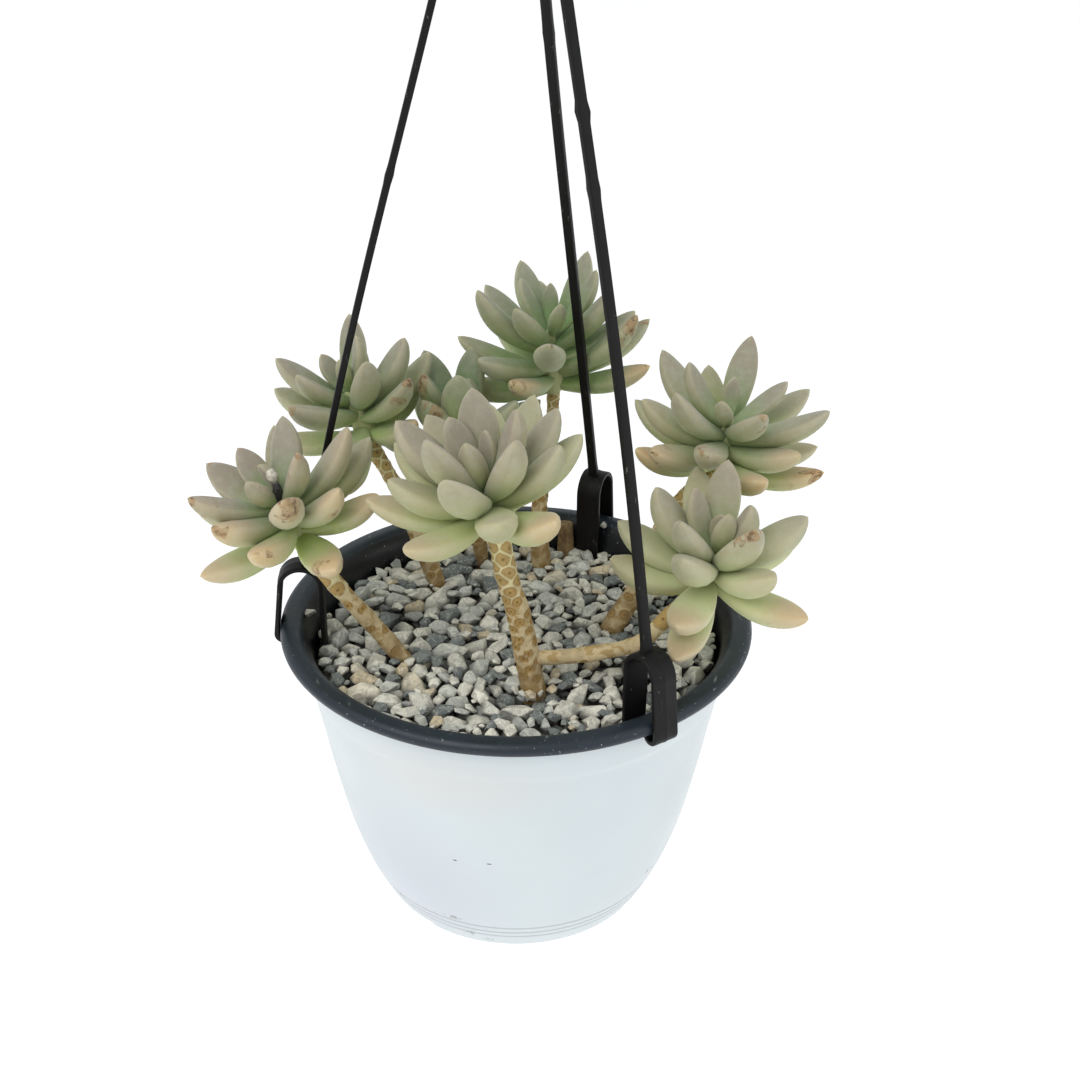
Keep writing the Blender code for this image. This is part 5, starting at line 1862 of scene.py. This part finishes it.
class HANGINGPOT_OT_leafy_stems(bpy.types.Operator):
    """Grow every stem with its leaf scars and its rosettes of fleshy leaves"""

    bl_idname = "hanging_pot.leafy_stems"
    bl_label = "Leafy stems"

    def execute(self, context):
        plant = context.scene.hanging_pot.plant
        leaf = leaf_shape(plant)
        flesh, skin = leaf_flesh(plant), stem_skin(plant)
        leaves = placed_leaves()
        for seed, stem in enumerate(STEMS):
            parts, marks, rows = [], {}, []
            for rosette, own_points in STEMS[stem]:
                course = stem_course(own_points, rosette)
                steps = np.diff(np.array(course)[:, :3], axis=0)
                rings = int(np.linalg.norm(steps, axis=1).sum() / RING_SPACING)
                *part, part_marks = stem_surface(
                    course, rings, STEM_SIDES, ROSETTES[rosette]["scars"], seed
                )
                parts.append(part)
                for name, values in part_marks.items():
                    marks.setdefault(name, []).extend(values)
                rows += leaf_roots(rosette, leaves[rosette], seed)
            obj = mesh_object(f"leafy_stem_{stem}_finished", *joined(parts))
            for name, values in marks.items():
                add_attribute(obj.data, name, values)
            roots = mesh_object("leaf_roots", [row["place"] for row in rows], [])
            for name in ("turn", "stretch", "lift", "curl", *LEAF_MARKS):
                add_attribute(roots.data, name, [row[name] for row in rows])
            grown(obj, leafy_tree(), Roots=roots, Leaf=leaf, Skin=skin, Flesh=flesh)
            bpy.data.objects.remove(roots, do_unlink=True)
            finish(obj, f"leafy_stem_{stem}")
        bpy.data.objects.remove(leaf, do_unlink=True)
        return {"FINISHED"}


class HANGINGPOT_OT_withered_bud(bpy.types.Operator):
    """Add the withered flower bud on its shrivelled stalk"""

    bl_idname = "hanging_pot.withered_bud"
    bl_label = "Withered bud"

    def execute(self, context):
        plant = context.scene.hanging_pot.plant
        course = np.array(BUD_COURSE)
        draw = np.random.default_rng(BUD_SEED)
        turns = np.arange(BUD_SIDES) * math.tau / BUD_SIDES
        rings, pale = [], []
        for spot in np.linspace(0.0, len(course) - 1.0, BUD_RINGS):
            x, y, z, radius = catmull(course, spot)
            far = radius * draw.uniform(*BUD_WRINKLES, BUD_SIDES)
            rings.append(np.stack([x + far * np.cos(turns), y + far * np.sin(turns),
                                   np.full(BUD_SIDES, z)], axis=1))
            pale.extend([float(smooth_step(*BALL_START, z))] * BUD_SIDES)
        points, faces = closed_tube(rings)
        bud = mesh_object("withered_bud", points, faces, bud_finish(plant))
        add_attribute(bud.data, "pale", pale + [pale[0], pale[-1]])
        face_outwards(bud)
        smooth(bud, angle=60)
        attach(bud, "root")
        return {"FINISHED"}


class HANGINGPOT_OT_stump(bpy.types.Operator):
    """Make the dry stump of an old stem"""

    bl_idname = "hanging_pot.stump"
    bl_label = "Old stump"

    def execute(self, context):
        plant = context.scene.hanging_pot.plant
        points, faces, _ = stem_surface(STUMP, STUMP_RINGS, STUMP_SIDES, STUMP_SCARS, STUMP_SEED)
        draw = np.random.default_rng(STUMP_SEED)
        points = points + draw.uniform(-STUMP_ROUGHNESS, STUMP_ROUGHNESS, points.shape)
        stump = mesh_object("old_stump_finished", points, faces, bark_finish(plant))
        face_outwards(stump)
        smooth(stump, angle=60)
        finish(stump, "old_stump")
        return {"FINISHED"}


def arc(middle, radius, start, end, steps):
    """Points on an arc in the upright plane, from one angle to another."""
    turns = np.radians(np.linspace(start, end, steps))
    return [(middle[0] + radius * math.cos(t), middle[1] + radius * math.sin(t)) for t in turns]


def clip_line(arch_steps=11, toe_steps=9):
    """Centre line of a rim clip in radius and height: inner leg, arch, outer leg and toe."""
    arch_middle = ((OUTER_LEG_TOP + INNER_LEG) / 2, ARCH_SPRING)
    toe_middle = (OUTER_LEG_FOOT - TOE_RADIUS, TOE_HEIGHT)
    return (
        [(INNER_LEG, INNER_LEG_FOOT)]
        + arc(arch_middle, (OUTER_LEG_TOP - INNER_LEG) / 2, 180.0, 0.0, arch_steps)
        + arc(toe_middle, TOE_RADIUS, 0.0, -180.0, toe_steps)
    )


def strip_section(half_width, half_thickness, edge, ridge):
    """Cross-section of a moulded strip with rounded edges and a low ridge along its middle."""
    section = []
    for side, face, start in ((1, 1, 0), (-1, 1, 90), (-1, -1, 180), (1, -1, 270)):
        corner = (side * (half_width - edge), face * (half_thickness - edge))
        section += arc(corner, edge, start, start + 90, 4)
        if side == face == 1:
            for spot in RIDGE_SPOTS:
                rise = ridge * max(0.0, 1.0 - (spot / RIDGE_HALF) ** 2)
                section.append((spot, half_thickness + rise))
    return section


def swept(line, sides_way, faces_way, section_at):
    """Rings of a section carried along a line of points."""
    rings = []
    for i, (middle, side, face) in enumerate(zip(line, sides_way, faces_way)):
        rings.append([middle + side * u + face * v for u, v in section_at(i / (len(line) - 1.0))])
    return rings


def arm_strap(name, edge):
    """One strap, a little wider at its foot, with small moulded nubs along it."""
    line = strap_points(name, STRAP_STEPS)
    line = np.vstack([line[0] + (line[0] - line[1]) * FOOT_OVERLAP, line])

    def section(share):
        flare = 1.0 + FOOT_FLARE * band(share, 0.0, FLARE_SHARE)
        nub = sum(NUB_RISE * band(share, spot, NUB_SHARE) for spot in NUBS[name])
        return strip_section(
            STRAP_WIDTH / 2 * flare + nub, STRAP_THICKNESS / 2 + nub * NUB_FACE_SHARE, edge,
            STRAP_RIDGE,
        )

    azimuth, count = ARM_AZIMUTHS[name], len(line)
    return swept(line, [tangential(azimuth)] * count, [radial(azimuth)] * count, section)


def arm_clip(name, edge):
    """One rim clip as a bent strip with rounded edges and a ridge along its middle."""
    out, side = radial(ARM_AZIMUTHS[name]), tangential(ARM_AZIMUTHS[name])
    line = np.array(clip_line(ARCH_STEPS, TOE_STEPS))
    toe = ARCH_STEPS + 1
    inner_leg = np.linspace(line[0], line[1], INNER_LEG_STEPS + 1)[:-1]
    outer_leg = np.linspace(line[toe - 1], line[toe], OUTER_LEG_STEPS + 1)[1:-1]
    line = np.vstack([inner_leg, line[1:toe], outer_leg, line[toe:]])
    middles = [out * radius + (0, 0, height) for radius, height in line]
    normals = [
        out * -climb + np.array((0, 0, run)) for run, climb in unit(np.gradient(line, axis=0))
    ]

    def section(share):
        taper = 1.0 - CLIP_NARROWING * band(share, 0.0, NARROW_SHARE)
        taper -= TOE_NARROWING * smooth_step(TOE_START, 1.0, share)
        return strip_section(CLIP_WIDTH / 2 * taper, CLIP_THICKNESS / 2, edge, CLIP_RIDGE)

    return swept(middles, [side] * len(line), normals, section)


class HANGINGPOT_OT_arms(bpy.types.Operator):
    """Mould the three arms with their rim clips"""

    bl_idname = "hanging_pot.arms"
    bl_label = "Hanger arms"

    def execute(self, context):
        hanger = context.scene.hanging_pot.hanger
        material = hanger_plastic(hanger)
        for name in ARM_AZIMUTHS:
            edge = hanger.edge / MM
            parts = [closed_tube(part(name, edge)) for part in (arm_clip, arm_strap)]
            arm = mesh_object(f"hanger_arm_{name}_finished", *joined(parts), material)
            face_outwards(arm)
            smooth(arm, angle=50)
            finish(arm, f"hanger_arm_{name}")
        return {"FINISHED"}


def hook_rings():
    """Rings of the hook's round rod, with a rounded tip."""
    middle = (0.0, HOOK_ABOVE_RIM - HOOK_INNER_RADIUS)
    curve = arc(
        middle, HOOK_INNER_RADIUS + HOOK_ROD, HOOK_NECK_ANGLE, HOOK_TIP_ANGLE, HOOK_STEPS
    )
    neck = rounded([(0.0, height) for height in NECK_HEIGHTS] + curve[:1], NECK_STEPS)[:-1]
    path = np.array([(x, 0.0, z) for x, z in [*neck, *curve]])
    ahead = unit(np.gradient(path, axis=0))
    across = np.array((0.0, 1.0, 0.0))
    angles = np.arange(HOOK_SIDES) * math.tau / HOOK_SIDES

    def ring(centre, direction, size):
        up = np.cross(direction, across)
        return [centre + (across * math.cos(a) + up * math.sin(a)) * size for a in angles]

    rings = [ring(centre, direction, HOOK_ROD) for centre, direction in zip(path, ahead)]
    for turn in np.radians(TIP_ANGLES):
        tip = path[-1] + ahead[-1] * HOOK_ROD * TIP_SHARE * math.sin(turn)
        rings.append(ring(tip, ahead[-1], HOOK_ROD * math.cos(turn)))
    return rings


class HANGINGPOT_OT_crown(bpy.types.Operator):
    """Make the crown that joins the arms, with its hook"""

    bl_idname = "hanging_pot.crown"
    bl_label = "Crown and hook"

    def execute(self, context):
        hanger = context.scene.hanging_pot.hanger
        shoulder = [tuple(spot) for spot in rounded(HUB_SHOULDER, SHOULDER_STEPS)]
        profile = [(0.0, HUB_TOP), (HUB_TOP_RADIUS, HUB_TOP), *shoulder, (0.0, HUB_BOTTOM)]
        material = hanger_plastic(hanger)
        crown = turned("hanger_crown_finished", profile, HUB_SIDES, material)
        hook = mesh_object("hook", *closed_tube(hook_rings()), material)
        face_outwards(hook)
        both = [crown, hook]
        with context.temp_override(
            active_object=crown, selected_objects=both, selected_editable_objects=both
        ):
            bpy.ops.object.join()
        smooth(crown, angle=50)
        finish(crown, "hanger_crown")
        return {"FINISHED"}


def studio_floor(stage):
    """The pale floor far below the hanging pot."""
    half = stage.floor_size / 2
    corners = ((-half, -half), (half, -half), (half, half), (-half, half))
    mesh = bpy.data.meshes.new("studio_floor")
    mesh.from_pydata([(x, y, -stage.floor_drop) for x, y in corners], [], [(0, 1, 2, 3)])
    mesh.materials.append(floor_finish(stage))
    return bpy.data.objects.new("studio_floor", mesh)


def stood(name, data, place, right, back):
    """A lamp or camera at a place, turned by the directions to its right and behind it."""
    obj = bpy.data.objects.new(name, data)
    axes = np.column_stack([right, np.cross(back, right), back, place])
    obj.matrix_world = Matrix([*axes.tolist(), (0.0, 0.0, 0.0, 1.0)])
    bpy.context.scene.collection.objects.link(obj)
    return obj


def lamp(name, power, size, spot, tint):
    """A square lamp that looks at the pot."""
    light = bpy.data.lights.new(name, "AREA")
    light.energy = power
    light.size = size
    light.color = tint
    back = unit(np.subtract(spot, LAMP_AIM))
    stood(name, light, spot, unit(np.cross((0.0, 0.0, 1.0), back)), back)


def soft_sky(strength):
    """Even light from all sides."""
    world = bpy.data.worlds.new("Soft studio")
    world.use_nodes = True
    sky = world.node_tree.nodes["Background"]
    sky.inputs["Color"].default_value = SKY_TINT
    sky.inputs["Strength"].default_value = strength
    return world


def photo_camera():
    """The camera, where the photograph was taken from."""
    data = bpy.data.cameras.new("camera")
    data.sensor_fit = "HORIZONTAL"
    data.sensor_width = SENSOR_WIDTH
    data.lens = CAMERA_LENS
    data.clip_start = VIEW_START
    data.clip_end = VIEW_END
    back = -np.array(CAMERA_AHEAD)
    return stood("camera", data, placed(CAMERA_PLACE), CAMERA_RIGHT, back)


class HANGINGPOT_OT_stage(bpy.types.Operator):
    """Set the pale floor, the soft light and the camera"""

    bl_idname = "hanging_pot.stage"
    bl_label = "Stage"

    def execute(self, context):
        scene = context.scene
        stage = scene.hanging_pot.stage
        floor = studio_floor(stage)
        scene.collection.objects.link(floor)
        scene.world = soft_sky(stage.sky)
        for name, *rest in LAMPS:
            lamp(name, getattr(stage, name), *rest)
        scene.camera = photo_camera()
        scene.view_settings.view_transform = "Standard"
        return {"FINISHED"}


class HANGINGPOT_PT_panel(bpy.types.Panel):
    """Lists the operators that build the hanging pot"""

    bl_idname = "HANGINGPOT_PT_panel"
    bl_label = "Hanging pot"
    bl_space_type = "VIEW_3D"
    bl_region_type = "UI"
    bl_category = "Hanging pot"

    def draw(self, context):
        for operator in OPERATORS:
            self.layout.operator(operator.bl_idname)


SETTINGS = (
    PotSettings, SoilSettings, GravelSettings, PlantSettings, HangerSettings, StageSettings,
    HangingPotSettings,
)
OPERATORS = (
    HANGINGPOT_OT_shell, HANGINGPOT_OT_liner, HANGINGPOT_OT_soil, HANGINGPOT_OT_gravel,
    HANGINGPOT_OT_leafy_stems, HANGINGPOT_OT_withered_bud, HANGINGPOT_OT_stump,
    HANGINGPOT_OT_arms, HANGINGPOT_OT_crown, HANGINGPOT_OT_stage,
)


def register():
    for item in SETTINGS + OPERATORS + (HANGINGPOT_PT_panel,):
        bpy.utils.register_class(item)
    bpy.types.Scene.hanging_pot = PointerProperty(type=HangingPotSettings)


def unregister():
    del bpy.types.Scene.hanging_pot
    for item in reversed(SETTINGS + OPERATORS + (HANGINGPOT_PT_panel,)):
        bpy.utils.unregister_class(item)


def main():
    register()
    bpy.ops.hanging_pot.shell()
    bpy.ops.hanging_pot.liner()
    bpy.ops.hanging_pot.soil()
    bpy.ops.hanging_pot.gravel()
    bpy.ops.hanging_pot.leafy_stems()
    bpy.ops.hanging_pot.withered_bud()
    bpy.ops.hanging_pot.stump()
    bpy.ops.hanging_pot.arms()
    bpy.ops.hanging_pot.crown()
    bpy.ops.hanging_pot.stage()


if __name__ == "__main__":
    main()
